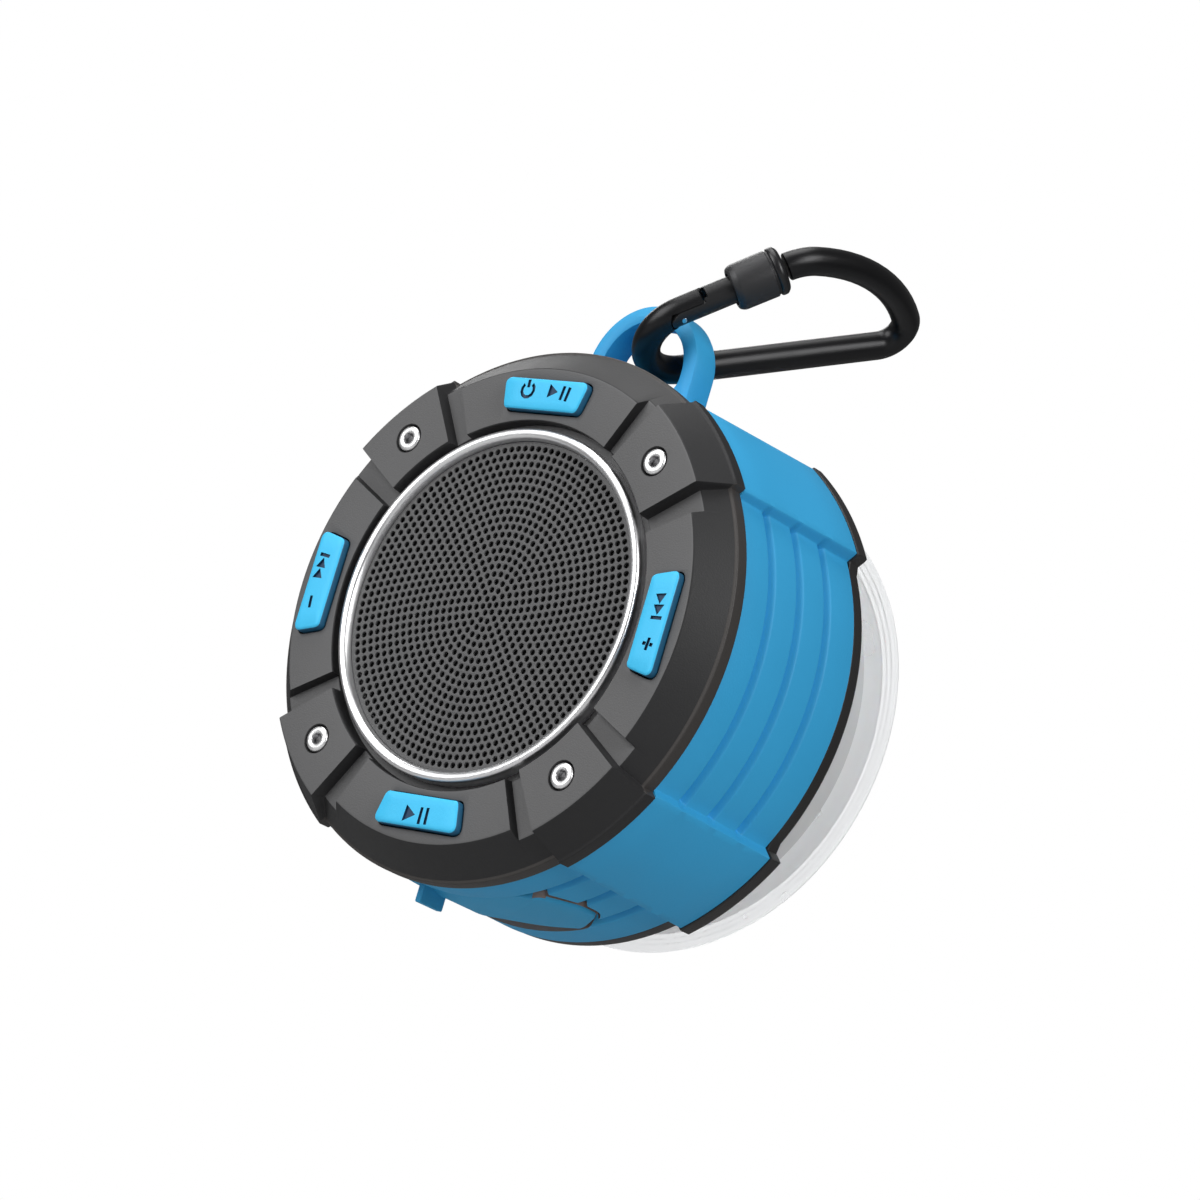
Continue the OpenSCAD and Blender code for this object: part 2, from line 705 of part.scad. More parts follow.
// Compression spring in the gate's bore
module gate_spring() color([0.75, 0.75, 0.76]) on_loop() on_gate() {
    sides = 8;
    steps = spring_turns * 10;
    length = spring_end - slot_end - 3 * spring_wire;
    rings = [for (i = [0:steps]) let (a = 360 * spring_turns * i / steps,
        x = slot_end + spring_wire * 1.5 + length * i / steps) [for (j = [0:sides - 1])
        let (b = 360 * j / sides, r = spring_r + spring_wire * cos(b))
        [x + spring_wire * sin(b), r * cos(a), r * sin(a)]]];
    last = steps * sides;
    polyhedron(points = [for (s = rings) for (p = s) p], faces = concat(
        [[for (j = [0:sides - 1]) j]],
        [for (i = [0:steps - 1]) for (j = [0:sides - 1]) let (k = (j + 1) % sides)
            [i * sides + k, i * sides + j, (i + 1) * sides + j, (i + 1) * sides + k]],
        [[for (j = [sides - 1:-1:0]) last + j]]));
}

module lock_sleeve() color([0.22, 0.22, 0.23]) on_loop() on_gate()
    translate([sleeve_low, 0, 0]) rotate([0, 90, 0]) rotate_extrude()
        polygon([[sleeve_bore, 0], [sleeve_r - 0.6, 0], [sleeve_r, 0.8],
            [sleeve_r, ring_low - sleeve_low], [sleeve_bore, ring_low - sleeve_low]]);

module sleeve_ring() color([0.05, 0.05, 0.055]) on_loop() on_gate()
    translate([ring_low, 0, 0]) rotate([0, 90, 0]) rotate_extrude()
        polygon([[sleeve_bore, 0], [sleeve_r - 0.3, 0], [sleeve_r, 0.3],
            [sleeve_r, sleeve_high - ring_low - 0.5], [sleeve_r - 0.5, sleeve_high - ring_low],
            [sleeve_bore, sleeve_high - ring_low]]);

housing();
front_bezel();
trim_ring();
grille();
acoustic_mesh();
button_power();
button_volume_down();
button_volume_up();
button_play();
keypad_mat();
keypad_board();
dome_switches();
bezel_screws();
front_seal();
speaker_frame();
speaker_surround();
speaker_cone();
dust_cap();
voice_coil();
spider();
top_plate();
magnet();
yoke();
main_board();
bluetooth_module();
charging_socket();
microphone();
battery();
battery_pad();
speaker_leads();
rear_cover();
rear_seal();
rear_screws();
port_flap();
cup_clip();
suction_cup();
cup_stud();
carabiner_body();
gate_pin();
carabiner_gate();
gate_spring();
lock_sleeve();
sleeve_ring();
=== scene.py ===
# %% [markdown]
# # A shower speaker, skin by skin
#
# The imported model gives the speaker's real solids: a drum that a suction cup holds off the
# wall, four buttons, a rubber port flap and a carabiner in a hanging loop. This lesson builds
# the visible skins of those pieces round them, one piece to a cell, and gives every part a
# finish. The wall is the plane Y = 0, the speaker faces -Y, and Z is up.

# %% Load the frame
import json
import math

import bmesh
import bpy
from mathutils import Matrix, Vector


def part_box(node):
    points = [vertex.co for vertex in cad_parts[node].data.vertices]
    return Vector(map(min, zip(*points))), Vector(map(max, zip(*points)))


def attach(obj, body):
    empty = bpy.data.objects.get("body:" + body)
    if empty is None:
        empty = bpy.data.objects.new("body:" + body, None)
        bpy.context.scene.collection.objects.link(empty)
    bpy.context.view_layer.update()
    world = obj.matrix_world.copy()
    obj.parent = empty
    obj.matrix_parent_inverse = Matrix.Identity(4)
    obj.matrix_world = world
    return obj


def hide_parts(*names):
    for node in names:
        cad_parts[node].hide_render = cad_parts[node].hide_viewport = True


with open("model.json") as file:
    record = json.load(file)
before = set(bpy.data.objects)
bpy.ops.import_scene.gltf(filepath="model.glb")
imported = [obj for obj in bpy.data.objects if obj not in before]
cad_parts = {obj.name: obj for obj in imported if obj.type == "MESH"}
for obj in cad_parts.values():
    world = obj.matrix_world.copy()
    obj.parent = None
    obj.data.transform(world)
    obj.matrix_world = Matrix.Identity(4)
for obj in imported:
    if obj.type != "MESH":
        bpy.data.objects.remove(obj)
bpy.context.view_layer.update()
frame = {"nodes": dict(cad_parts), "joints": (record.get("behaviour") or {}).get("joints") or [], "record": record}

# %% [markdown]
# Every height is measured off the wall, so it is minus Y. The heights where one piece meets
# the next come from the CAD solids themselves, so a skin can't drift away from its solid. The
# bezel has three more of its own: the faces between its screw pads lie a little lower than
# the pads, the channels beside the pads lower still, and its bevel ends at a low lip. The
# script counts in millimetres and turns them into metres only when it places a point.

# %% Heights off the wall
MM = 0.001
TURN = 2 * math.pi


def heights(node):
    low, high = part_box(node)
    return -high.y / MM, -low.y / MM


COVER_BACK, _ = heights("rear_cover")
COVER_FRONT, SEAM = heights("housing")
_, PAD_FACE = heights("front_bezel")
GRILLE_LOW, _ = heights("grille")
RING_LOW, _ = heights("trim_ring")
_, CUP_TOP = heights("suction_cup")
SEGMENT_FACE = PAD_FACE - 0.65
CHANNEL_FLOOR = PAD_FACE - 2.1
LIP_TOP = SEAM + 2.4
print(f"cover {COVER_BACK:.1f}, barrel {COVER_FRONT:.1f} to {SEAM:.1f}, pads {PAD_FACE:.1f}")

# %% [markdown]
# The camera comes first, because every later choice of detail depends on what it sees. It
# looks up at the speaker from the front right, tilted a little, through a long lens. A long
# lens keeps the drum's far edge nearly as large as its near edge.

# %% Camera
camera = bpy.data.objects.new("camera", bpy.data.cameras.new("camera"))
camera.location = (0.44718, -0.55023, -0.13075)
camera.rotation_euler = [math.radians(a) for a in (101.9634, -16.1507, 37.2073)]
camera.data.sensor_width = 36
camera.data.lens = 143.14
camera.data.clip_start = 0.05
bpy.context.scene.collection.objects.link(camera)
bpy.context.scene.camera = camera
print("lens", camera.data.lens, "mm")

# %% [markdown]
# Small goods are lit in a white tent, which gives soft light from all sides. The tent is the
# world. The lens sees it as pure white, and so does a ray that has passed through clear
# rubber, while the light that it gives to the speaker is weaker, so that faces turned away
# from the lamps still fall off to a darker tone. Large area lamps stand for the soft boxes.
# The biggest is in front and to the left, which lights the face and leaves the drum's
# underside darker. The one on the right lights the blue side, the one above gives the upper
# edges their sheen, and a weak one behind keeps the back from going black.

# %% Tent
TENT_GLOW, TENT_SEEN = 0.13, 1.0

world = bpy.data.worlds.new("tent")
bpy.context.scene.world = world
world.use_nodes = True
tent = world.node_tree
glow = tent.nodes["Background"]
glow.inputs["Strength"].default_value = TENT_GLOW
seen = tent.nodes.new("ShaderNodeBackground")
seen.inputs["Strength"].default_value = TENT_SEEN
for background in (glow, seen):
    background.inputs["Color"].default_value = (1, 1, 1, 1)
choice = tent.nodes.new("ShaderNodeMixShader")
rays = tent.nodes.new("ShaderNodeLightPath")
straight = tent.nodes.new("ShaderNodeMath")
straight.operation = "MAXIMUM"
tent.links.new(rays.outputs["Is Camera Ray"], straight.inputs[0])
tent.links.new(rays.outputs["Is Transmission Ray"], straight.inputs[1])
tent.links.new(straight.outputs[0], choice.inputs[0])
tent.links.new(glow.outputs[0], choice.inputs[1])
tent.links.new(seen.outputs[0], choice.inputs[2])
tent.links.new(choice.outputs[0], tent.nodes["World Output"].inputs["Surface"])
bpy.context.scene.view_settings.view_transform = "Standard"
print("the tent gives", TENT_GLOW, "and is seen as", TENT_SEEN)


# %% Lamps and floor
def soft_box(name, place, aim, size, power):
    lamp = bpy.data.lights.new(name, "AREA")
    lamp.shape = "RECTANGLE"
    lamp.size, lamp.size_y = size
    lamp.energy = power
    holder = bpy.data.objects.new(name, lamp)
    holder.location = place
    holder.rotation_euler = (Vector(aim) - Vector(place)).to_track_quat("-Z", "Y").to_euler()
    bpy.context.scene.collection.objects.link(holder)
    print(f"{name}: {power} W")


MIDDLE = (0, -0.03, 0)
soft_box("front_box", (-0.35, -1.1, 0.45), MIDDLE, (0.9, 0.9), 11.5)
soft_box("top_box", (-0.2, -0.2, 0.9), MIDDLE, (0.8, 0.5), 4)
soft_box("right_box", (0.95, -0.3, 0.45), MIDDLE, (0.5, 0.7), 7.5)
soft_box("back_box", (-1.0, 0.6, 0.8), MIDDLE, (0.5, 0.5), 3)

FLOOR_LEVEL, FLOOR_HALF = -0.32, 3
floor_corners = [(x * FLOOR_HALF, y * FLOOR_HALF, FLOOR_LEVEL)
                 for x, y in ((-1, -1), (1, -1), (1, 1), (-1, 1))]
floor_mesh = bpy.data.meshes.new("floor")
floor_mesh.from_pydata(floor_corners, [], [(0, 1, 2, 3)])
floor = bpy.data.objects.new("floor", floor_mesh)
bpy.context.scene.collection.objects.link(floor)

# %% [markdown]
# ## Finishes
#
# A moulded part is never one flat colour. Its skin has the fine grain of the mould, its sheen
# wanders a little, and its colour does too. One recipe makes them all: a fine noise raises
# the grain, and a broad noise moves the roughness and the colour. Each finish then says how
# coarse, how deep and how shiny. Numbers that are the same all over go straight onto the
# shader. The imported model's own flat colours go first.

# %% The common recipe
for flat_colour in list(bpy.data.materials):
    bpy.data.materials.remove(flat_colour)
FINISHES = {}
WANDER_SCALE = 90       # patches of about a centimetre
GRAIN_HEIGHT = 0.0002   # metres, at a depth of 1


def nodes_of(material):
    tree = material.node_tree
    return tree.nodes, tree.links, tree.nodes["Principled BSDF"]


def grained(name, colour, rough, grain=1.0, depth=0.1, wander=0.08, tone=0.06, **sockets):
    """A finish of one colour. grain is the grain's size in mm and depth its strength."""
    material = bpy.data.materials.new(name)
    material.use_nodes = True
    nodes, links, shader = nodes_of(material)
    place = nodes.new("ShaderNodeTexCoord")
    fine = nodes.new("ShaderNodeTexNoise")
    fine.inputs["Scale"].default_value = 1 / (grain * MM)
    fine.inputs["Detail"].default_value = 3
    broad = nodes.new("ShaderNodeTexNoise")
    broad.inputs["Scale"].default_value = WANDER_SCALE
    bump = nodes.new("ShaderNodeBump")
    bump.inputs["Strength"].default_value = depth
    bump.inputs["Distance"].default_value = GRAIN_HEIGHT
    sheen = nodes.new("ShaderNodeMapRange")
    sheen.inputs["To Min"].default_value = max(rough - wander, 0.02)
    sheen.inputs["To Max"].default_value = min(rough + wander, 1)
    hue = nodes.new("ShaderNodeMixRGB")
    hue.inputs["Color1"].default_value = [c * (1 - tone) for c in colour] + [1]
    hue.inputs["Color2"].default_value = [min(c * (1 + tone), 1) for c in colour] + [1]
    for noise in (fine, broad):
        links.new(place.outputs["Object"], noise.inputs["Vector"])
    links.new(fine.outputs["Fac"], bump.inputs["Height"])
    links.new(bump.outputs["Normal"], shader.inputs["Normal"])
    links.new(broad.outputs["Fac"], sheen.inputs["Value"])
    links.new(sheen.outputs["Result"], shader.inputs["Roughness"])
    links.new(broad.outputs["Fac"], hue.inputs["Fac"])
    links.new(hue.outputs["Color"], shader.inputs["Base Color"])
    for socket, value in sockets.items():
        shader.inputs[socket.replace("_", " ")].default_value = value
    FINISHES[name] = material
    return material


# %% [markdown]
# Brushed and turned metal scatters light along its scratches, so its grain is stretched: the
# noise is squeezed along one axis before it raises the bump. Polished metal has the same
# recipe without the stretch and almost without depth. Woven cloth is two waves that cross.
# Each starts from the common recipe and changes only what feeds the bump.

# %% Metal and woven finishes
NO_STRETCH = (1, 1, 1)
BANDS_PER_UNIT = 3      # a wave texture of scale 1 has about three bands to the unit


def brushed(name, colour, rough, stretch=(1, 1, 40), **more):
    """A metal whose scratches run across the stretched axis."""
    material = grained(name, colour, rough, Metallic=1.0, **more)
    nodes, links, _ = nodes_of(material)
    squeeze = nodes.new("ShaderNodeMapping")
    squeeze.inputs["Scale"].default_value = stretch
    place = nodes["Texture Coordinate"]
    links.new(place.outputs["Object"], squeeze.inputs["Vector"])
    links.new(squeeze.outputs["Vector"], nodes["Noise Texture"].inputs["Vector"])


def polished(name, colour, rough, grain):
    """A bright metal whose surface only wavers a little."""
    brushed(name, colour, rough, stretch=NO_STRETCH, grain=grain, depth=0.01, wander=0.03)


def woven(name, colour, rough, thread, **more):
    """A cloth whose threads lie so many mm apart."""
    material = grained(name, colour, rough, **more)
    nodes, links, _ = nodes_of(material)
    place = nodes["Texture Coordinate"]
    cross = nodes.new("ShaderNodeMath")
    cross.operation = "MULTIPLY"
    for slot_number, axis in enumerate(("X", "Z")):
        wave = nodes.new("ShaderNodeTexWave")
        wave.bands_direction = axis
        wave.inputs["Scale"].default_value = 1 / (thread * MM) / BANDS_PER_UNIT
        wave.inputs["Distortion"].default_value = 0.4
        links.new(place.outputs["Object"], wave.inputs["Vector"])
        links.new(wave.outputs["Fac"], cross.inputs[slot_number])
    links.new(cross.outputs["Value"], nodes["Bump"].inputs["Height"])


# %% [markdown]
# The outer pieces are soft-touch plastic, rubber and anodised metal. The bezel's flat faces
# are finely textured and greyer, while its bevels are smooth and painted nearly black as
# shade. The rubber keys have flanks painted dark as shade, and dark sunken marks. The cup's
# bell is milky and its thin lip almost clear, so they are two finishes.

# %% Outer finishes
grained("bezel_face", (0.1, 0.1, 0.102), 0.65, grain=0.25, depth=0.25)
# painted shade: the bezel's bevels and walls are a near-black copy of its charcoal
grained("bezel_painted_shade", (0.02, 0.02, 0.021), 0.5, grain=0.25, depth=0.12,
        Specular_IOR_Level=0.35)
grained("bezel_lip", (0.04, 0.036, 0.034), 0.55, grain=0.25, depth=0.15)
grained("barrel_blue", (0.03, 0.37, 0.7), 0.6, grain=0.35, depth=0.15, tone=0.04)
grained("button_blue", (0.04, 0.54, 0.9), 0.55, grain=0.3, depth=0.12, tone=0.03)
# painted shade: the keys' flanks are a dark navy copy of the keys' blue
grained("button_flank_painted_shade", (0.012, 0.1, 0.2), 0.5, grain=0.3, depth=0.12)
grained("button_mark", (0.008, 0.05, 0.12), 0.6, grain=0.3, depth=0.1)
grained("flap_blue", (0.03, 0.36, 0.66), 0.6, grain=0.3, depth=0.15, tone=0.04)
# painted shade: the brown-grey of the seam round the flap and of the flap's edge
grained("flap_seam_painted_shade", (0.24, 0.19, 0.17), 0.8, grain=0.3, depth=0.3)
grained("cover_black", (0.018, 0.017, 0.017), 0.45, grain=0.3, depth=0.2)
grained("carabiner_black", (0.008, 0.008, 0.009), 0.33, grain=0.15, depth=0.1, Metallic=0.4)
grained("gate_black", (0.02, 0.02, 0.021), 0.35, grain=0.15, depth=0.1, Metallic=0.4)
grained("sleeve_grey", (0.035, 0.035, 0.037), 0.38, grain=0.12, depth=0.25, Metallic=0.4)
grained("sleeve_end_black", (0.008, 0.008, 0.009), 0.35, grain=0.2, depth=0.1)
polished("ring_bright", (0.93, 0.93, 0.94), 0.32, grain=0.6)
polished("screw_chrome", (0.95, 0.95, 0.96), 0.38, grain=0.8)
# painted shade: the socket's darker grey stands for the shade in its recess
brushed("screw_socket_painted_shade", (0.4, 0.4, 0.41), 0.35, stretch=NO_STRETCH, grain=0.4, depth=0.05)
grained("grille_grey", (0.088, 0.088, 0.09), 0.6, grain=0.15, depth=0.2)
woven("mesh_black", (0.003, 0.003, 0.003), 0.9, 0.3, depth=0.5)
grained("cup_clear", (0.62, 0.62, 0.63), 0.4, grain=4, depth=0.02, tone=0.01,
        Transmission_Weight=0.5, IOR=1.2, Subsurface_Weight=0.2)
grained("cup_lip", (0.93, 0.94, 0.95), 0.3, grain=4, depth=0.04, tone=0.01,
        Transmission_Weight=0.85, IOR=1.1)
grained("stud_clear", (0.8, 0.82, 0.83), 0.3, grain=2, depth=0.04,
        Transmission_Weight=0.3, IOR=1.45)
print(len(FINISHES), "outer finishes")

# %% [markdown]
# The pieces inside are real materials too: pressed steel, ferrite, paper, copper, glass-fibre
# board. They are seen when the speaker is opened, so each gets its own grain.

# %% Inner finishes
grained("keypad_rubber", (0.02, 0.02, 0.022), 0.75, grain=0.4, depth=0.2)
grained("board_green", (0.01, 0.11, 0.045), 0.35, grain=1.2, depth=0.3, tone=0.25)
brushed("dome_steel", (0.75, 0.74, 0.72), 0.22, grain=0.2)
grained("seal_rubber", (0.012, 0.012, 0.012), 0.6, grain=0.3)
grained("basket_steel", (0.03, 0.03, 0.032), 0.4, grain=0.5, depth=0.2, Metallic=0.6)
grained("surround_rubber", (0.01, 0.01, 0.01), 0.5, grain=0.4)
grained("cone_paper", (0.02, 0.02, 0.022), 0.85, grain=0.5, depth=0.5, tone=0.3)
brushed("coil_copper", (0.85, 0.42, 0.2), 0.3, stretch=(1, 60, 1), grain=0.4, depth=0.4)
woven("spider_cloth", (0.55, 0.36, 0.12), 0.8, 0.5, depth=0.6)
brushed("plate_steel", (0.5, 0.5, 0.52), 0.35, stretch=(30, 1, 1), grain=0.4)
grained("magnet_ferrite", (0.035, 0.035, 0.038), 0.55, grain=0.8, depth=0.4, tone=0.2)
grained("module_blue", (0.02, 0.04, 0.22), 0.4, grain=0.6, depth=0.2)
brushed("socket_steel", (0.72, 0.72, 0.74), 0.28, grain=0.3)
brushed("capsule_metal", (0.66, 0.66, 0.64), 0.32, grain=0.3)
grained("cell_foil", (0.55, 0.57, 0.6), 0.35, grain=2.5, depth=0.5, Metallic=0.8)
grained("pad_foam", (0.035, 0.035, 0.035), 0.95, grain=0.5, depth=0.9, tone=0.4)
grained("lead_red", (0.6, 0.02, 0.015), 0.4, grain=0.5)
brushed("screw_black", (0.09, 0.09, 0.095), 0.35, grain=0.2)
brushed("clip_steel", (0.6, 0.6, 0.62), 0.3, grain=0.3)
brushed("pin_steel", (0.75, 0.75, 0.77), 0.2, grain=0.2)
brushed("spring_steel", (0.7, 0.7, 0.72), 0.25, grain=0.2)
print(len(FINISHES), "finishes on the speaker")

# %% [markdown]
# The floor is a sheet of pale paper that is lit until it almost disappears. A lamp strong
# enough for that would also throw a lot of light up at the drum's underside, so only the lens
# sees the paper glow: a light path node mixes some emission in for camera rays and for no
# others. For every other ray the paper is a plain mid grey.

# %% The floor's finish
PAPER_GLOW, PAPER_SHARE = 1.0, 0.85
floor_mesh.materials.append(grained("floor_pale", (0.44, 0.44, 0.44), 0.9, grain=20,
                                    depth=0.05, tone=0.005))
nodes, links, shader = nodes_of(FINISHES["floor_pale"])
rays, paper, lift = (nodes.new("ShaderNode" + kind) for kind in ("LightPath", "Emission", "Math"))
blend = nodes.new("ShaderNodeMixShader")
paper.inputs["Strength"].default_value = PAPER_GLOW
lift.operation = "MULTIPLY"
lift.inputs[1].default_value = PAPER_SHARE
links.new(rays.outputs["Is Camera Ray"], lift.inputs[0])
links.new(lift.outputs[0], blend.inputs[0])
links.new(shader.outputs[0], blend.inputs[1])
links.new(paper.outputs[0], blend.inputs[2])
links.new(blend.outputs[0], nodes["Material Output"].inputs["Surface"])
print(len(FINISHES), "finishes in all")

# %% [markdown]
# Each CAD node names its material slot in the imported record, and the finish has the same
# name. So the nodes that stay as they are get dressed in one loop. Only the bezel's slot has
# a finish by another name, because the bezel is made of three.

# %% Dress the CAD nodes
SLOT_OF = {row["node"]: row["material_slot"] for row in frame["record"]["subparts"]}
FINISHES["bezel_charcoal"] = FINISHES["bezel_face"]
for node, solid in frame["nodes"].items():
    solid.data.materials.clear()
    solid.data.materials.append(FINISHES[SLOT_OF[node]])
print(len(SLOT_OF), "nodes dressed in", len(set(SLOT_OF.values())), "finishes")

# %% [markdown]
# ## Tools for the skins
#
# Almost every piece here is a skin over closed loops of points: a turned ring is one outline
# repeated round the axis, a rod is one circle repeated along a line, and a key is one outline
# repeated at rising heights. So one function joins loops with faces. Smooth shading with
# sharp edges kept above an angle makes the curved parts read as curved.

# %% A skin over loops
SHARP = math.radians(38)


def piece_of(name, shape, materials):
    """Turns a bmesh into an object with its normals outward and its sharp edges marked."""
    bmesh.ops.recalc_face_normals(shape, faces=shape.faces)
    mesh = bpy.data.meshes.new(name)
    shape.to_mesh(mesh)
    shape.free()
    mesh.shade_smooth()
    mesh.set_sharp_from_angle(angle=SHARP)
    for material in materials:
        mesh.materials.append(FINISHES[material])
    piece = bpy.data.objects.new(name, mesh)
    bpy.context.scene.collection.objects.link(piece)
    return piece


def add_skin(shape, loops, ring=False):
    """Faces between loops of equal length. A ring's last loop meets its first."""
    rows = [[shape.verts.new(point) for point in loop] for loop in loops]
    pairs = list(zip(rows, rows[1:])) + ([(rows[-1], rows[0])] if ring else [])
    for one, two in pairs:
        for k in range(len(one)):
            shape.faces.new((one[k - 1], one[k], two[k], two[k - 1]))
    if not ring:
        shape.faces.new(rows[0])
        shape.faces.new(rows[-1])


def skin(name, loops, materials, ring=False):
    """One piece from one run of loops."""
    shape = bmesh.new()
    add_skin(shape, loops, ring)
    return piece_of(name, shape, materials)


def at(r, angle, h):
    """The point at a radius and an angle round the drum's axis, h mm off the wall."""
    return Vector((r * math.cos(angle), -h, r * math.sin(angle))) * MM


def hand_over(piece, body, slot, *nodes):
    """The piece rides on its body and stands for CAD nodes; slot is not used."""
    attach(piece, body)
    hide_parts(*nodes)
    print(f"{piece.name}: {len(piece.data.polygons)} faces, on {body}")


# %% [markdown]
# Real edges are never knife-sharp. They are what catches the light, so every outline gets its
# corners rounded before it is turned or raised. Each corner carries its own radius, and each
# becomes the same number of points, which lets two outlines be blended point by point.

# %% Round the corners of an outline
ARC_STEPS = 4


def rounded(corners, steps=ARC_STEPS):
    """Corners (x, y, reach) of a closed outline, each turned into a small curve."""
    points = []
    for k, (x, y, reach) in enumerate(corners):
        here = Vector((x, y))
        back = Vector(corners[k - 1][:2]) - here
        ahead = Vector(corners[(k + 1) % len(corners)][:2]) - here
        start = here + back.normalized() * min(reach, 0.49 * back.length)
        end = here + ahead.normalized() * min(reach, 0.49 * ahead.length)
        for step in range(steps + 1):
            t = step / steps
            points.append(start.lerp(here, t).lerp(here.lerp(end, t), t))
    return points


def turned(name, corners, materials, sides=180, steps=ARC_STEPS):
    """One outline of (radius, height, reach) turned round the drum's axis."""
    outline = rounded(corners, steps)
    loops = [[at(p.x, TURN * k / sides, p.y) for p in outline] for k in range(sides)]
    return skin(name, loops, materials, ring=True)


# %% [markdown]
# Where one solid is cut from another, such as a window in the bezel, the Boolean modifier
# does the work and is then applied. Its cutters bring their own material with them, so a cut
# face can have its own finish.

# %% Cut and join solids
def combine(piece, others, operation="DIFFERENCE"):
    """Cuts the others from the piece, or joins or intersects them with it, and removes them."""
    for other in others:
        step = piece.modifiers.new(operation, "BOOLEAN")
        step.object = other
        step.operation = operation
        step.solver = "MANIFOLD"
        step.material_mode = "TRANSFER"
    bpy.context.view_layer.update()
    graph = bpy.context.evaluated_depsgraph_get()
    mesh = bpy.data.meshes.new_from_object(piece.evaluated_get(graph))
    piece.modifiers.clear()
    piece.data = mesh
    mesh.shade_smooth()
    mesh.set_sharp_from_angle(angle=SHARP)
    for other in others:
        bpy.data.objects.remove(other)
    return piece


# %% [markdown]
# ## The front bezel
#
# The bezel is one moulding: four raised pads on the diagonals carry the screws, four wider
# segments carry the keys, and a sunken channel beside every pad runs out where it meets the
# bevel. A turned outline can't do that alone, so three outlines are drawn with the same
# number of points, one for each kind of place. The channel's outline has the segment's own
# bevel, only cut off lower, so its floor ends on the same slope. The outlines start at the
# opening, go over the face, down the bevel and the side, and come back underneath, where a
# short tube reaches down inside the barrel and a step holds the trim ring.

# %% Bezel outlines
OPENING_R = 28
LIP_R = 40.4
SEGMENT_EDGE_R, SEGMENT_FOOT_R = 36, 40
PAD_EDGE_R, PAD_FOOT_R, PAD_SIDE_R = 38.1, 41.1, 41.5
PAD_HALF = math.radians(11.4)
CHANNEL_HALF = math.radians(17.5)
WALL_TURN = math.radians(0.45)
HOLLOW_R, HOLLOW_HIGH = 36.2, SEAM + 3.6
TUBE_OUT_R, TUBE_IN_R, TUBE_LOW = 28.9, 25.9, SEAM + 0.9
STEP_R, STEP_LOW = 24.4, RING_LOW - 0.8
UNDERSIDE = [(r, h, 0.1) for r, h in (
    (HOLLOW_R, SEAM), (HOLLOW_R, HOLLOW_HIGH), (TUBE_OUT_R, HOLLOW_HIGH),
    (TUBE_OUT_R, TUBE_LOW), (TUBE_OUT_R - 1.3, TUBE_LOW), (TUBE_IN_R, TUBE_LOW + 1.7),
    (TUBE_IN_R, STEP_LOW), (STEP_R, STEP_LOW), (STEP_R, RING_LOW), (OPENING_R, RING_LOW))]


def bezel_outline(face, edge_r, foot_r, side_r):
    """The face ends at edge_r, and its bevel runs down to foot_r at the lip."""
    return rounded([(OPENING_R, face, 0.25), (edge_r, face, 0.3), (foot_r, LIP_TOP, 0.15),
                    (side_r, LIP_TOP - 0.15, 0.2), (side_r, SEAM, 0.25)] + UNDERSIDE)


PAD_OUTLINE = bezel_outline(PAD_FACE, PAD_EDGE_R, PAD_FOOT_R, PAD_SIDE_R)
SEGMENT_OUTLINE = bezel_outline(SEGMENT_FACE, SEGMENT_EDGE_R, SEGMENT_FOOT_R, LIP_R)
BEVEL_SLOPE = (SEGMENT_FOOT_R - SEGMENT_EDGE_R) / (SEGMENT_FACE - LIP_TOP)
CHANNEL_EDGE_R = SEGMENT_EDGE_R + (SEGMENT_FACE - CHANNEL_FLOOR) * BEVEL_SLOPE
CHANNEL_OUTLINE = bezel_outline(CHANNEL_FLOOR, CHANNEL_EDGE_R, SEGMENT_FOOT_R, LIP_R)
print("points in each bezel outline:", len(PAD_OUTLINE))

# %% [markdown]
# Now the outline is blended from one kind to the next as it goes round. Because all three
# have the same number of points, a blend is a plain mix of two lists. A blend over half a
# degree makes a steep wall with softened edges, and it needs loops close together only there.

# %% Blend the outlines round the axis
def smooth(t):
    """0 below 0, 1 above 1, and a soft curve between."""
    t = min(max(t, 0), 1)
    return t * t * (3 - 2 * t)


def from_diagonal(angle):
    """How far an angle is from the nearest of the four diagonals."""
    return abs(angle % (TURN / 4) - TURN / 8)


def mixed(one, two, share):
    """An outline part of the way from one to another."""
    return [a.lerp(b, share) for a, b in zip(one, two)]


def bezel_at(angle):
    """The bezel's outline at an angle: pad, then channel, then segment."""
    away = from_diagonal(angle)
    fall = smooth((away - PAD_HALF) / WALL_TURN)
    rise = smooth((away - CHANNEL_HALF + WALL_TURN) / WALL_TURN)
    return mixed(mixed(PAD_OUTLINE, CHANNEL_OUTLINE, fall), SEGMENT_OUTLINE, rise)


def angles_round(starts, wall_turn, fine=6, coarse=14):
    """One turn's angles, close together through each wall that starts so far from a diagonal."""
    walls = sorted([TURN / 8 + start for start in starts]
                   + [TURN / 8 - start - wall_turn for start in starts])
    quarter, edge = [], 0
    for wall in walls + [TURN / 4]:
        quarter += [edge + (wall - edge) * k / coarse for k in range(coarse)]
        if wall < TURN / 4:
            quarter += [wall + wall_turn * k / fine for k in range(fine)]
        edge = wall + wall_turn
    return [TURN / 4 * turn + angle for turn in range(4) for angle in quarter]


bezel_angles = angles_round([PAD_HALF, CHANNEL_HALF - WALL_TURN], WALL_TURN)
bezel = skin("bezel", [[at(p.x, a, p.y) for p in bezel_at(a)] for a in bezel_angles],
             ["bezel_face", "bezel_painted_shade", "bezel_lip"], ring=True)
print("loops round the bezel:", len(bezel_angles))

# %% [markdown]
# The keys and the flap are cushions: one outline raised in levels, pulled in a little at each
# level to round the upper edge, and then drawn together towards the middle. The same outline,
# grown instead of pulled in, cuts the window that the key sits in, so the gap round a key is
# the same everywhere. A place function bends the flat outline to where it belongs.

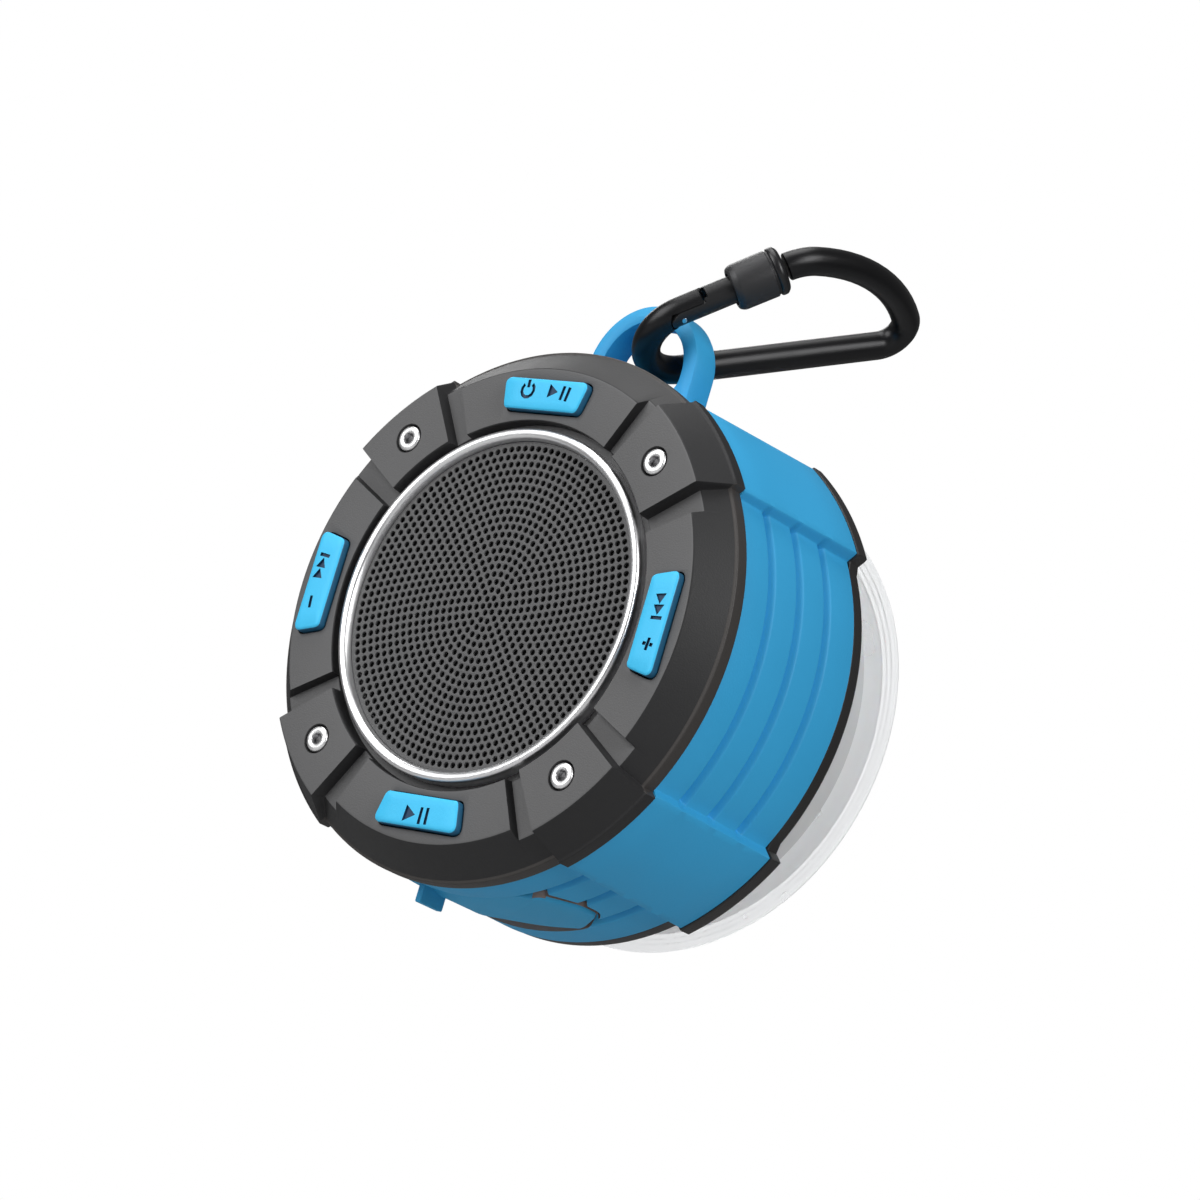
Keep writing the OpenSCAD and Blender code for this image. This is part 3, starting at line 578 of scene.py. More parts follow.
# %% Cushions
def inset(corners, d):
    """A convex outline, anticlockwise, with every side moved in by d mm."""
    moved = []
    for k, (x, y, reach) in enumerate(corners):
        here = Vector((x, y))
        one = (here - Vector(corners[k - 1][:2])).normalized()
        two = (Vector(corners[(k + 1) % len(corners)][:2]) - here).normalized()
        inward = Vector((-one.y - two.y, one.x + two.x))
        here += inward * (d / (1 + one.dot(two)))
        moved.append((here.x, here.y, max(reach - d, 0.05)))
    return moved


def cushion(corners, levels, place, gathers=()):
    """Loops for an outline at levels of (inset, height), then gathered to the middle."""
    loops = [[place(p.x, p.y, height) for p in rounded(inset(corners, d))]
             for d, height in levels]
    rim = rounded(inset(corners, levels[-1][0]))
    middle = sum(rim, Vector((0, 0))) / len(rim)
    for share, height in gathers:
        loops.append([place(q.x, q.y, height) for q in (p.lerp(middle, share) for p in rim)])
    return loops


# %% [markdown]
# A key's outline is drawn flat, its length along the ring and its width across it, and the
# place function wraps it round the axis. The window's upper edge flares a little, as a
# moulded edge does. The screw holes are plain stepped columns, each round its own axis.

# %% Windows and screw holes in the bezel
KEY_MID, KEY_WIDTH, KEY_TOP = 32.25, 4.9, PAD_FACE + 0.55
KEY_HALF = math.radians(13.2) * KEY_MID
KEY_TURNS = {"power": TURN / 4, "volume_down": TURN / 2, "volume_up": 0, "play": -TURN / 4}
SCREW_CIRCLE = 33
GAP = 0.2


def box_outline(half_x, low_y, high_y, reach, mid_x=0):
    """A rectangle with rounded corners, anticlockwise."""
    return [(mid_x + x, y, reach) for x, y in ((-half_x, low_y), (half_x, low_y),
                                               (half_x, high_y), (-half_x, high_y))]


KEY_OUTLINE = box_outline(KEY_HALF, -KEY_WIDTH / 2, KEY_WIDTH / 2, 1.1)


def on_ring(turn):
    """Wraps a flat outline round the drum's axis, its X along the ring and Y outward."""
    return lambda x, y, h: at(KEY_MID + y, turn - x / KEY_MID, h)


def round_diagonal(k):
    """Cylinder coordinates round a screw's own axis on diagonal k."""
    middle = at(SCREW_CIRCLE, TURN / 8 + k * TURN / 4, 0)
    return lambda r, angle, h: middle + at(r, angle, h)


def flat_side(angle, corners):
    """How far out a polygon's side lies at an angle, for a polygon whose corners lie at 1."""
    half = TURN / corners / 2
    return math.cos(half) / math.cos(angle % (2 * half) - half)


def column(place, levels, sides=48, corners=6):
    """Loops of a round column at levels of (radius, height). A level whose radius is
    negative is a polygon with that many corners."""
    turns = [TURN * k / sides for k in range(sides)]
    return [[place(abs(r) * (flat_side(turn, corners) if r < 0 else 1), turn, h)
             for turn in turns] for r, h in levels]


SCREW_SEAT, SHANK_HOLE_R, HEAD_HOLE_R, HEAD_HOLE_FLARE = PAD_FACE - 1.8, 1.1, 2.17, 2.3
WINDOW = [(-GAP, SEAM + 3), (-GAP, SEGMENT_FACE - 0.2), (-GAP - 0.06, SEGMENT_FACE - 0.06),
          (-GAP - 0.25, SEGMENT_FACE + 0.01), (-GAP - 0.25, PAD_FACE + 2)]
SCREW_HOLE = [(SHANK_HOLE_R, SEAM - 1), (SHANK_HOLE_R, SCREW_SEAT), (HEAD_HOLE_R, SCREW_SEAT),
              (HEAD_HOLE_R, PAD_FACE - 0.18), (HEAD_HOLE_FLARE, PAD_FACE + 0.01),
              (HEAD_HOLE_FLARE, PAD_FACE + 2)]
cutters = bmesh.new()
for turn in KEY_TURNS.values():
    add_skin(cutters, cushion(KEY_OUTLINE, WINDOW, on_ring(turn)))
for k in range(4):
    add_skin(cutters, column(round_diagonal(k), SCREW_HOLE))
combine(bezel, [piece_of("bezel_cutters", cutters, ["bezel_painted_shade"])])
print("cut", len(KEY_TURNS), "windows and 4 screw holes")

# %% [markdown]
# The mould was textured only where the bezel faces the user. So each face of the mesh picks
# its finish from where it looks and lies: forward faces are grained, the rest is smooth and
# painted darker as shade, and the lip at the seam is its own, slightly warmer tone.

# %% Finish the bezel by face
FACES_USER = 0.88


def finish_faces(piece, choose):
    """choose(normal, centre in mm) names the material of each face."""
    order = {material.name: k for k, material in enumerate(piece.data.materials)}
    for face in piece.data.polygons:
        face.material_index = order[choose(face.normal, face.center / MM)]


def bezel_finish(normal, centre):
    radius, height = math.hypot(centre.x, centre.z), -centre.y
    beside_pad = from_diagonal(math.atan2(centre.z, centre.x)) > PAD_HALF
    if height < LIP_TOP + 0.05 and radius > LIP_R - 0.9:
        return "bezel_lip" if beside_pad else "bezel_painted_shade"
    # faces that don't look forward get the painted shade
    return "bezel_face" if -normal.y > FACES_USER else "bezel_painted_shade"


finish_faces(bezel, bezel_finish)
hand_over(bezel, "case", "bezel_charcoal", "front_bezel")

# %% [markdown]
# ## Screws
#
# Four bright socket screws hold the bezel. Each is one column of loops: up the shank, out
# under the head, over the rounded rim and down into a six-sided socket with a cone at its
# bottom. All four are one piece, as they are in the CAD model.

# %% Bezel screws
HEAD_FACE, HEAD_R, HEAD_LOW = PAD_FACE + 0.15, 1.95, 1.8
SHANK_R, SHANK_END = 0.95, PAD_FACE - 13.5
SCREW_LEVELS = [(SHANK_R - 0.4, SHANK_END), (SHANK_R, SHANK_END + 0.4),
                (SHANK_R, HEAD_FACE - HEAD_LOW), (HEAD_R - 0.2, HEAD_FACE - HEAD_LOW),
                (HEAD_R, HEAD_FACE - HEAD_LOW + 0.3), (HEAD_R, HEAD_FACE - 0.42),
                (HEAD_R - 0.08, HEAD_FACE - 0.2), (HEAD_R - 0.3, HEAD_FACE - 0.05),
                (HEAD_R - 0.55, HEAD_FACE), (1.1, HEAD_FACE - 0.02), (0.92, HEAD_FACE - 0.1),
                (-0.84, HEAD_FACE - 0.3), (-0.8, HEAD_FACE - 1.0), (0.3, HEAD_FACE - 1.35)]
screws = bmesh.new()
for k in range(4):
    add_skin(screws, column(round_diagonal(k), SCREW_LEVELS))
screws_front = piece_of("screws_front", screws, ["screw_chrome", "screw_socket_painted_shade"])


def screw_finish(normal, centre):
    """Bright outside, and painted darker in the socket as the shade of its recess."""
    axis = SCREW_CIRCLE * math.cos(TURN / 8)
    off_axis = math.hypot(abs(centre.x) - axis, abs(centre.z) - axis)
    return "screw_socket_painted_shade" if off_axis < 0.9 and -centre.y > PAD_FACE - 1.3 else "screw_chrome"


finish_faces(screws_front, screw_finish)
hand_over(screws_front, "case", "screw_chrome", "bezel_screws")

# %% [markdown]
# ## Keys
#
# The keys are soft rubber caps with marks sunk into them. A mark is made of strokes and small
# filled shapes, each a shallow prism that is cut out of the cap, and the cut brings its dark
# finish along. The marks are the plain ones that any player has: power, play, skip, plus and
# minus.

# %% Strokes for the marks
STROKE = 0.34


def bar(x0, y0, x1, y1):
    """A straight stroke as the four corners of a thin rectangle."""
    a, b = Vector((x0, y0)), Vector((x1, y1))
    side = (b - a).normalized().orthogonal() * STROKE / 2
    return [a + side, a - side, b - side, b + side]


def bent_bar(x, y, r, start, end, count=9):
    """A curved stroke as one ribbon outline, its angles in degrees clockwise from the top."""
    turns = [math.radians(start + (end - start) * k / count) for k in range(count + 1)]
    outer, inner = ([Vector((x + edge * math.sin(t), y + edge * math.cos(t))) for t in turns]
                    for edge in (r + STROKE / 2, r - STROKE / 2))
    return outer + inner[::-1]


def arrow(x, y, size, way=1):
    """A filled triangle that points along X."""
    return [Vector((x - way * size / 2, y - size * 0.6)), Vector((x + way * size / 2, y)),
            Vector((x - way * size / 2, y + size * 0.6))]


MARKS = {
    "power": [bent_bar(-1.9, 0, 0.72, 38, 322), bar(-1.9, 0.25, -1.9, 1.05),
              arrow(1.2, 0, 1.15), bar(2.35, -0.7, 2.35, 0.7), bar(3.0, -0.7, 3.0, 0.7)],
    "volume_up": [arrow(-2.2, 0, 1.0), arrow(-1.15, 0, 1.0), bar(-0.4, -0.62, -0.4, 0.62),
                  bar(1.5, 0, 2.7, 0), bar(2.1, 0.22, 2.1, 0.6), bar(2.1, -0.22, 2.1, -0.6)],
    "volume_down": [bar(-2.6, -0.62, -2.6, 0.62), arrow(-1.85, 0, 1.0, -1),
                    arrow(-0.8, 0, 1.0, -1), bar(1.5, 0, 2.7, 0)],
    "play": [arrow(-0.75, 0, 1.35), bar(0.55, -0.8, 0.55, 0.8), bar(1.3, -0.8, 1.3, 0.8)],
}
print({key: len(marks) for key, marks in MARKS.items()})

# %% [markdown]
# A key's marks are drawn along the ring, so the upper key's stand upright. The side keys'
# marks read along the drum's edge, and the lower key's would be upside down, so READS turns
# the marks of two keys by half a turn.

# %% Keys
MARK_DEPTH, MARK_SIZE = 0.3, 1.55
READS = {"power": 1, "volume_up": 1, "volume_down": -1, "play": -1}


def key_finish(normal, centre):
    # faces that don't look forward get the flanks' painted shade
    return "button_blue" if -normal.y > 0.6 else "button_flank_painted_shade"


KEY_FLANK = [(0.3, SEAM + 4.6), (0, SEAM + 5), (0, KEY_TOP - 0.5), (0.05, KEY_TOP - 0.25),
             (0.18, KEY_TOP - 0.09), (0.4, KEY_TOP)]
KEY_CROWN = [(0.3, KEY_TOP + 0.03), (0.6, KEY_TOP + 0.05), (0.9, KEY_TOP + 0.05)]
for key, turn in KEY_TURNS.items():
    cap = skin("key_" + key, cushion(KEY_OUTLINE, KEY_FLANK, on_ring(turn), KEY_CROWN),
               ["button_blue", "button_flank_painted_shade"])
    finish_faces(cap, key_finish)
    strokes = bmesh.new()
    way = READS[key]
    for outline in MARKS[key]:
        add_skin(strokes, [[on_ring(turn)(way * p.x, way * p.y, h)
                            for p in (MARK_SIZE * q for q in outline)]
                           for h in (KEY_TOP - MARK_DEPTH, KEY_TOP + 1)])
    combine(cap, [piece_of("strokes", strokes, ["button_mark"])])
    hand_over(cap, key + "_key", "button_blue", "button_" + key)

# %% [markdown]
# ## Trim ring and grille
#
# A bright ring frames the grille. It is a plain turned outline, but its crest is rounded
# generously, because the one long highlight along it is what makes it read as polished metal.
# A narrow ledge inside it carries the grille's edge.

# %% Trim ring
RING_R, RING_IN, LEDGE_R, CREST = 26.87, 25.1, 24.55, PAD_FACE - 0.3
ring_corners = [(LEDGE_R, RING_LOW, 0.05), (RING_R, RING_LOW, 0.05), (RING_R, CREST, 0.95),
                (RING_IN + 0.35, CREST, 0.7), (RING_IN, CREST - 1, 0.3),
                (RING_IN, GRILLE_LOW, 0.05), (LEDGE_R, GRILLE_LOW, 0.05)]
hand_over(turned("ring", ring_corners, ["ring_bright"], steps=7), "case", "ring_bright",
          "trim_ring")

# %% [markdown]
# The grille is a steel disc with rings of punched holes, six more in each ring than in the
# last. A flat curve with a hole for each spline fills itself in, and the curve's own extrude
# and bevel give the plate its thickness and each hole its rolled edge. Every ring starts at
# almost the same angle, so the holes line up in six fans of nearly straight rows. The small
# drift is there because the curve's fill goes wrong where many points share one height.

# %% Grille
HOLE_R, HOLE_PITCH, HOLE_RINGS, HOLE_SIDES = 0.46, 1.2, 20, 12
PATTERN_TURN, DRIFT = 0.17, 0.0037
PLATE_TOP, PLATE_THICK, EDGE = GRILLE_LOW + 0.55, 0.5, 0.05


def plate(name, outlines, low, high, edge, materials):
    """A flat sheet with rounded edges. The first outline is its rim and the rest are holes."""
    curve = bpy.data.curves.new(name, "CURVE")
    curve.dimensions = "2D"
    curve.fill_mode = "BOTH"
    curve.extrude = ((high - low) / 2 - edge) * MM
    curve.bevel_depth = edge * MM
    curve.bevel_resolution = 1
    curve.offset = -edge * MM
    for outline in outlines:
        spline = curve.splines.new("POLY")
        spline.points.add(len(outline) - 1)
        for point, (x, y) in zip(spline.points, outline):
            point.co = (x * MM, y * MM, 0, 1)
        spline.use_cyclic_u = True
    holder = bpy.data.objects.new(name, curve)
    bpy.context.scene.collection.objects.link(holder)
    bpy.context.view_layer.update()
    sheet = bpy.data.meshes.new_from_object(holder.evaluated_get(
        bpy.context.evaluated_depsgraph_get()))
    bpy.data.objects.remove(holder)
    shape = bmesh.new()
    shape.from_mesh(sheet)
    bmesh.ops.remove_doubles(shape, verts=shape.verts, dist=1e-6)
    shape.transform(Matrix.Translation((0, -(low + high) / 2 * MM, 0))
                    @ Matrix.Rotation(TURN / 4, 4, "X"))
    return piece_of(name, shape, materials)


def circle(x, y, r, sides):
    return [(x + r * math.cos(TURN * k / sides), y + r * math.sin(TURN * k / sides))
            for k in range(sides)]


holes = [circle(0, 0, HOLE_R, HOLE_SIDES)]
for n in range(1, HOLE_RINGS + 1):
    for k in range(6 * n):
        angle = TURN * k / (6 * n) + PATTERN_TURN + DRIFT * n
        holes.append(circle(n * HOLE_PITCH * math.cos(angle), n * HOLE_PITCH * math.sin(angle),
                            HOLE_R, HOLE_SIDES))
grille = plate("grille_plate", [circle(0, 0, RING_IN - 0.05, 180)] + holes,
               PLATE_TOP - PLATE_THICK, PLATE_TOP, EDGE, ["grille_grey"])
print("holes:", len(holes))
hand_over(grille, "case", "grille_grey", "grille")

# %% [markdown]
# ## The barrel
#
# The blue barrel is a tapered tube with three V grooves round it and four raised panels that
# line up with the screw pads. It is built like the bezel: an outline for the grooved bands, an
# outline for a panel, and a blend between them. The panels' flanks slope, so this blend is
# twice as wide as the bezel's walls. The grooves fade out into a flank, which leaves the
# small dark notches beside each panel.

# %% Barrel outlines
BORE_R = 37.4
BAND_REAR_R, BAND_FRONT_R = 40.4, 39.9
PANEL_REAR_R, PANEL_FRONT_R = 42.3, 41.2
PANEL_HALF, FLANK_TURN = math.radians(11.6), math.radians(0.9)
GROOVE_DEPTH, GROOVE_HALF, GROOVE_STEPS = 1.4, 1.0, 6
LENGTH = SEAM - COVER_FRONT
GROOVE_HEIGHTS = [COVER_FRONT + LENGTH * share for share in (3 / 4, 2 / 4, 1 / 4)]
SHELF_R, SHELF_THICK, SEAM_GAP = 34.5, 1.6, 0.05
BORE = [(BORE_R, COVER_FRONT, 0.1), (BORE_R, SEAM - SHELF_THICK, 0.1),
        (SHELF_R, SEAM - SHELF_THICK, 0.1), (SHELF_R, SEAM - SEAM_GAP, 0.1)]


def groove_depth(h):
    """How deep the grooves are at a height."""
    return sum(GROOVE_DEPTH * smooth(1 - abs(h - middle) / GROOVE_HALF)
               for middle in GROOVE_HEIGHTS)


def barrel_heights():
    """Heights down the barrel from the seam, close together where a groove is."""
    down = [SEAM - SEAM_GAP]
    for middle in GROOVE_HEIGHTS:
        down += [middle + GROOVE_HALF * (1 - step / GROOVE_STEPS)
                 for step in range(2 * GROOVE_STEPS + 1)]
    return down + [COVER_FRONT + SEAM_GAP]


def barrel_outline(rear_r, front_r, grooved):
    """From the seam to the rear and back through the bore; grooved is 1 or 0."""
    corners = []
    for h in barrel_heights():
        share = (h - COVER_FRONT) / LENGTH
        r = rear_r + (front_r - rear_r) * share - groove_depth(h) * grooved
        corners.append((r, h, 0.15))
    return rounded(corners + BORE, 2)


BAND_OUTLINE = barrel_outline(BAND_REAR_R, BAND_FRONT_R, 1)
PANEL_OUTLINE = barrel_outline(PANEL_REAR_R, PANEL_FRONT_R, 0)


def barrel_at(angle):
    share = smooth((from_diagonal(angle) - PANEL_HALF) / FLANK_TURN)
    return mixed(PANEL_OUTLINE, BAND_OUTLINE, share)


barrel_angles = angles_round([PANEL_HALF], FLANK_TURN, fine=10, coarse=16)
barrel = skin("barrel", [[at(p.x, a, p.y) for p in barrel_at(a)] for a in barrel_angles],
              ["barrel_blue", "flap_seam_painted_shade"], ring=True)
print("barrel loops:", len(barrel_angles), "of", len(BAND_OUTLINE))

# %% [markdown]
# The hanging loop is an arch with straight outer sides and flared inner corners. It is a flat
# outline given a thickness and a bevel all round, the way the trim of a thick sheet is made,
# and then joined into the barrel's wall. Its bevel is broad, because the real loop's edges
# are plain chamfers.

# %% Hanging loop
LOOP_IN, LOOP_OUT, LOOP_Z = 7.5, 10.2, 43
LOOP_LOW, LOOP_HIGH, LOOP_BEVEL = 29.05, 34.35, 0.7
FOOT_Z, FLARE = 37.95, 2.6


def arc(x, y, r, start, end, steps):
    """Points along a circle's arc, its angles in degrees."""
    return [(x + r * math.cos(math.radians(start + (end - start) * k / steps)),
             y + r * math.sin(math.radians(start + (end - start) * k / steps)))
            for k in range(steps + 1)]


flare_y = FOOT_Z + 1.6 + FLARE
loop_outline = ([(-LOOP_OUT, FOOT_Z - 0.6)] + arc(0, LOOP_Z, LOOP_OUT, 180, 0, 48)
                + [(LOOP_OUT, FOOT_Z - 0.6), (LOOP_IN - FLARE, FOOT_Z)]
                + arc(LOOP_IN - FLARE, flare_y, FLARE, -90, 0, 8)
                + arc(0, LOOP_Z, LOOP_IN, 0, 180, 40)
                + arc(-LOOP_IN + FLARE, flare_y, FLARE, 180, 270, 8)
                + [(-LOOP_IN + FLARE, FOOT_Z)])
arch = plate("arch", [loop_outline], LOOP_LOW, LOOP_HIGH, LOOP_BEVEL, ["barrel_blue"])
print("points in the loop's outline:", len(loop_outline))

# %% [markdown]
# ## The port flap
#
# Under the barrel a rubber flap closes the charging port. Its outline, a wide strip with cut
# corners, is raised in levels round a cylinder, so that it follows the barrel's curve, and
# the same outline, a little bigger, cuts the recess that it lies in. The recess's faces are
# painted brown-grey as shade, which shows as the thin seam all round the flap. A smaller slot
# goes on through the wall to the charging socket.

# %% Recess for the flap
FLAP_R, FLAP_IN = 40.5, 38.9
FLAP_LOW, FLAP_HIGH, FLAP_HALF = 23.8, 38.1, 15.3
right_side = [(FLAP_HALF - 4.2, FLAP_LOW, 1), (FLAP_HALF, FLAP_LOW + 3, 1.2),
              (FLAP_HALF, FLAP_HIGH - 7, 1.5), (FLAP_HALF - 2, FLAP_HIGH, 1.2)]
FLAP_OUTLINE = right_side + [(-x, y, reach) for x, y, reach in reversed(right_side)]
RECESS_GAP, RECESS_FLOOR, CLEAR_OF_BARREL = 0.75, FLAP_IN - 0.05, 44
PORT_GAP, WALL_INSIDE = 0.2, 36.5
TO_MIDDLE = [share / 8 for share in range(1, 8)]


def under_barrel(x, h, r):
    """A point r mm from the axis, under the drum, x mm to the right."""
    return Vector((x, -h, -math.sqrt(r * r - x * x))) * MM


def straight_under(x, h, z):
    """A point at a plain X and Z, h mm off the wall."""
    return Vector((x, -h, z)) * MM


recess = skin("recess", cushion(FLAP_OUTLINE, [(-RECESS_GAP, CLEAR_OF_BARREL),
                                               (-RECESS_GAP, RECESS_FLOOR)], under_barrel,
                                [(share, RECESS_FLOOR) for share in TO_MIDDLE]), ["flap_seam_painted_shade"])
plug_h = sum(heights("charging_socket")) / 2
PLUG = box_outline(4.2, plug_h - 1.4, plug_h + 1.4, 0.6)
port = skin("port", cushion(PLUG, [(-PORT_GAP, -FLAP_IN - 0.6), (-PORT_GAP, -WALL_INSIDE)],
                            straight_under), ["flap_seam_painted_shade"])
combine(barrel, [arch], "UNION")
# the recess and the port slot bring the brown-grey painted shade onto their cut faces
combine(barrel, [recess, port])
hand_over(barrel, "case", "barrel_blue", "housing")

# %% [markdown]
# The flap's own upper edge is rounded, its skin is gathered to the middle so that it stays
# curved, and a small tab at its front edge gives a fingernail something to pull. On its inner
# side a plug fills the socket's opening.

# %% Flap
TAB_X, TAB_HALF, TAB_LONG, TAB_Z, PLUG_TOP_Z = -8.4, 0.6, 5.1, -41.8, -37.6
flap_edge = [(0.3, FLAP_IN), (0, FLAP_IN + 0.3), (0, FLAP_R - 0.5), (0.06, FLAP_R - 0.22),
             (0.22, FLAP_R - 0.06), (0.5, FLAP_R)]
tab = box_outline(TAB_HALF, FLAP_HIGH - TAB_LONG, FLAP_HIGH + 0.15, 0.3, mid_x=TAB_X)
flap = bmesh.new()
add_skin(flap, cushion(FLAP_OUTLINE, flap_edge, under_barrel,
                       [(share, FLAP_R) for share in TO_MIDDLE]))
add_skin(flap, cushion(tab, [(0.1, TAB_Z), (0, TAB_Z + 0.15), (0, -FLAP_IN)], straight_under))
add_skin(flap, cushion(PLUG, [(0, -FLAP_IN - 0.4), (0, PLUG_TOP_Z - 0.3), (0.3, PLUG_TOP_Z)],
                       straight_under))
flap_piece = piece_of("flap", flap, ["flap_blue", "flap_seam_painted_shade"])


def flap_finish(normal, centre):
    """The flap's cut edge is painted brown-grey as shade; the rest is blue."""
    reach = math.hypot(centre.x, centre.z)
    outward = (normal.x * centre.x + normal.z * centre.z) / reach
    on_edge = FLAP_IN < reach < FLAP_R and abs(outward) < 0.5
    return "flap_seam_painted_shade" if on_edge and abs(centre.x - TAB_X) > 0.8 else "flap_blue"


finish_faces(flap_piece, flap_finish)
hand_over(flap_piece, "flap", "flap_blue", "port_flap")

# %% [markdown]
# ## Rear cover
#
# The black cover closes the back. Its rim follows the barrel, panels and all, so it is blended
# from two outlines as well. The back is what the wall would see: two shallow turned dishes,
# four deep screw pockets and the hub in which the suction cup's stud turns. A low rib inside
# fits the barrel's bore, and four posts reach up to the main board.

# %% Rear cover outlines
HUB_R, RIB_IN, RIB_OUT, RIB_HIGH = 4.1, 35.4, 37.2, 1.95
COVER_BAND_R, COVER_PANEL_R, COVER_WIDER = 40.3, 42.55, math.radians(0.3)


def dish(outer, inner, deep):
    """A shallow ring-shaped dish in the cover's back, from its outer to its inner edge."""
    return [(outer, COVER_BACK, 0.3), (outer - 0.4, COVER_BACK + deep, 0.3),
            (inner + 0.4, COVER_BACK + deep, 0.3), (inner, COVER_BACK, 0.3)]


def cover_outline(side_r):
    """From the rim over the back to the hub, and back along the inside."""
    return rounded([(side_r, COVER_FRONT, 0.25), (side_r, COVER_BACK, 0.6)]
                   + dish(38.6, 28.8, 0.5) + dish(9.4, 6, 0.4)
                   + [(HUB_R, COVER_BACK, 0.2), (HUB_R, COVER_FRONT, 0.1),
                      (RIB_IN, COVER_FRONT, 0.1), (RIB_IN, COVER_FRONT + RIB_HIGH, 0.2),
                      (RIB_OUT, COVER_FRONT + RIB_HIGH, 0.2), (RIB_OUT, COVER_FRONT, 0.1)])


COVER_BAND, COVER_PANEL = cover_outline(COVER_BAND_R), cover_outline(COVER_PANEL_R)


def cover_at(angle):
    """The cover's outline at an angle; its panels are a little wider than the barrel's."""
    share = smooth((from_diagonal(angle) - PANEL_HALF - COVER_WIDER) / FLANK_TURN)
    return mixed(COVER_PANEL, COVER_BAND, share)


cover = skin("cover", [[at(p.x, a, p.y) for p in cover_at(a)] for a in barrel_angles],
             ["cover_black"], ring=True)
print("points in each cover outline:", len(COVER_BAND))

# %% Posts and screw pockets
POST_R, MAIN_LOW = 3, heights("main_board")[0]
POCKET_R, POCKET_DEEP = 2.15, 1.8
POST = [(POST_R, COVER_FRONT - 0.4), (POST_R, MAIN_LOW)]
POCKET = [(POCKET_R + 0.3, COVER_BACK - 1), (POCKET_R + 0.3, COVER_BACK - 0.01),
          (POCKET_R, COVER_BACK + 0.3), (POCKET_R, COVER_BACK + POCKET_DEEP),
          (SHANK_HOLE_R, COVER_BACK + POCKET_DEEP), (SHANK_HOLE_R, MAIN_LOW + 1)]
pockets, posts = bmesh.new(), bmesh.new()
for k in range(4):
    add_skin(posts, column(round_diagonal(k), POST))
    add_skin(pockets, column(round_diagonal(k), POCKET))
combine(cover, [piece_of("posts", posts, ["cover_black"])], "UNION")
combine(cover, [piece_of("pockets", pockets, ["cover_black"])])
hand_over(cover, "case", "cover_black", "rear_cover")

# %% [markdown]
# ## Suction cup
#
# The cup is one piece of soft clear rubber: a domed bell, a thin lip that lies flat on the
# wall, and fine rings on the sealing face that help it to grip. Its bell is a quarter of an
# ellipse, computed, so it has no corners at all, and the hollow under it is another. The one
# outline starts at the stud's hole, runs over the bell and round the lip, and comes back
# underneath. Milky rubber lets light in and scatters it, so its finish is part see-through
# and part scattering.

# %% Suction cup
LIP_START, RIM_R, CUP_SIDES = 33.4, 37.1, 160
BELL_R, BELL_LOW, BELL_TOP, INNER_R, INNER_LOW = 11, 3, CUP_TOP - 0.6, 9, 2
BELL_FROM, BELL_TO = 3, 82      # degrees from the crown
STUD_HOLE_R, STUD_SEAT_R, RIDGES, RIDGE_PITCH = 4.06, 7.2, 3, 0.8


def ellipse(r, h, wide, high, start, end, steps=14):
    """Points along an ellipse, its angles in degrees from the crown."""
    turns = [math.radians(start + (end - start) * k / steps) for k in range(steps + 1)]
    return [(r + wide * math.sin(t), h + high * math.cos(t)) for t in turns]


cup_outline = [(STUD_HOLE_R, CUP_TOP - 2.5), (STUD_HOLE_R, CUP_TOP - 0.2), (4.3, CUP_TOP),
               (BELL_R - 1.4, CUP_TOP), (BELL_R - 0.4, CUP_TOP - 0.2)]
cup_outline += ellipse(BELL_R, BELL_LOW, LIP_START - BELL_R - 1.5, BELL_TOP - BELL_LOW,
                       BELL_FROM, BELL_TO)
cup_outline += [(LIP_START - 0.9, 2.6), (LIP_START, 2.05), (LIP_START + 0.5, 1.75),
                (RIM_R - 0.6, 1.05), (RIM_R - 0.15, 0.85), (RIM_R, 0.5), (RIM_R - 0.15, 0.12),
                (RIM_R - 0.5, 0)]
for k in range(RIDGES):
    ridge_r = RIM_R - 0.9 - RIDGE_PITCH * k
    cup_outline += [(ridge_r, 0), (ridge_r - 0.2, 0.18), (ridge_r - 0.4, 0.18),
                    (ridge_r - 0.6, 0)]
cup_outline += ellipse(INNER_R, INNER_LOW, LIP_START - INNER_R - 3.3,
                       BELL_TOP - 6 - INNER_LOW, BELL_TO, BELL_FROM)
cup_outline += [(STUD_SEAT_R, CUP_TOP - 4.1), (STUD_SEAT_R, CUP_TOP - 2.6)]
cup = skin("cup", [[at(r, TURN * k / CUP_SIDES, h) for r, h in cup_outline]
                   for k in range(CUP_SIDES)], ["cup_clear", "cup_lip"], ring=True)


def cup_finish(normal, centre):
    """The lip is almost clear; the bell is milky."""
    return "cup_lip" if math.hypot(centre.x, centre.z) > LIP_START - 0.9 else "cup_clear"


finish_faces(cup, cup_finish)
hand_over(cup, "cup", "cup_clear", "suction_cup")

# %% [markdown]
# ## Carabiner
#
# The carabiner has its own plane, which the record gives: the gate's hinge is a point on it,
# the gate's hinge axis is square to it, and the sleeve slides along the gate. From those three
# the script builds the plane's own X and Y, with X along the spine, and works there. The bent
# bar is a narrow end, a straight spine, a tight corner, a long curved back and a nose, and
# each arc's middle follows from the one before it.

# %% The carabiner's plane
JOINTS = {joint["name"]: joint for joint in frame["joints"]}
GATE_ANGLE = math.radians(23.4)
SPINE, NARROW_R, CORNER_R, BACK_R, ROD_R = 32.8, 6.5, 3.8, 26.0, 2.15
TURN_A, TURN_B = math.radians(-64.3), math.radians(-11)

hinge_world = Vector(JOINTS["gate_hinge"]["pos_m"]) / MM
along_gate = Vector(JOINTS["sleeve_travel"]["axis"]).normalized()
plane_up = -Vector(JOINTS["gate_hinge"]["axis"]).normalized()
across_gate = plane_up.cross(along_gate)
plane_x = math.cos(GATE_ANGLE) * along_gate - math.sin(GATE_ANGLE) * across_gate
plane_y = plane_up.cross(plane_x)


def left_of(angle):
    """The unit vector to the left of a heading."""
    return Vector((-math.sin(angle), math.cos(angle)))


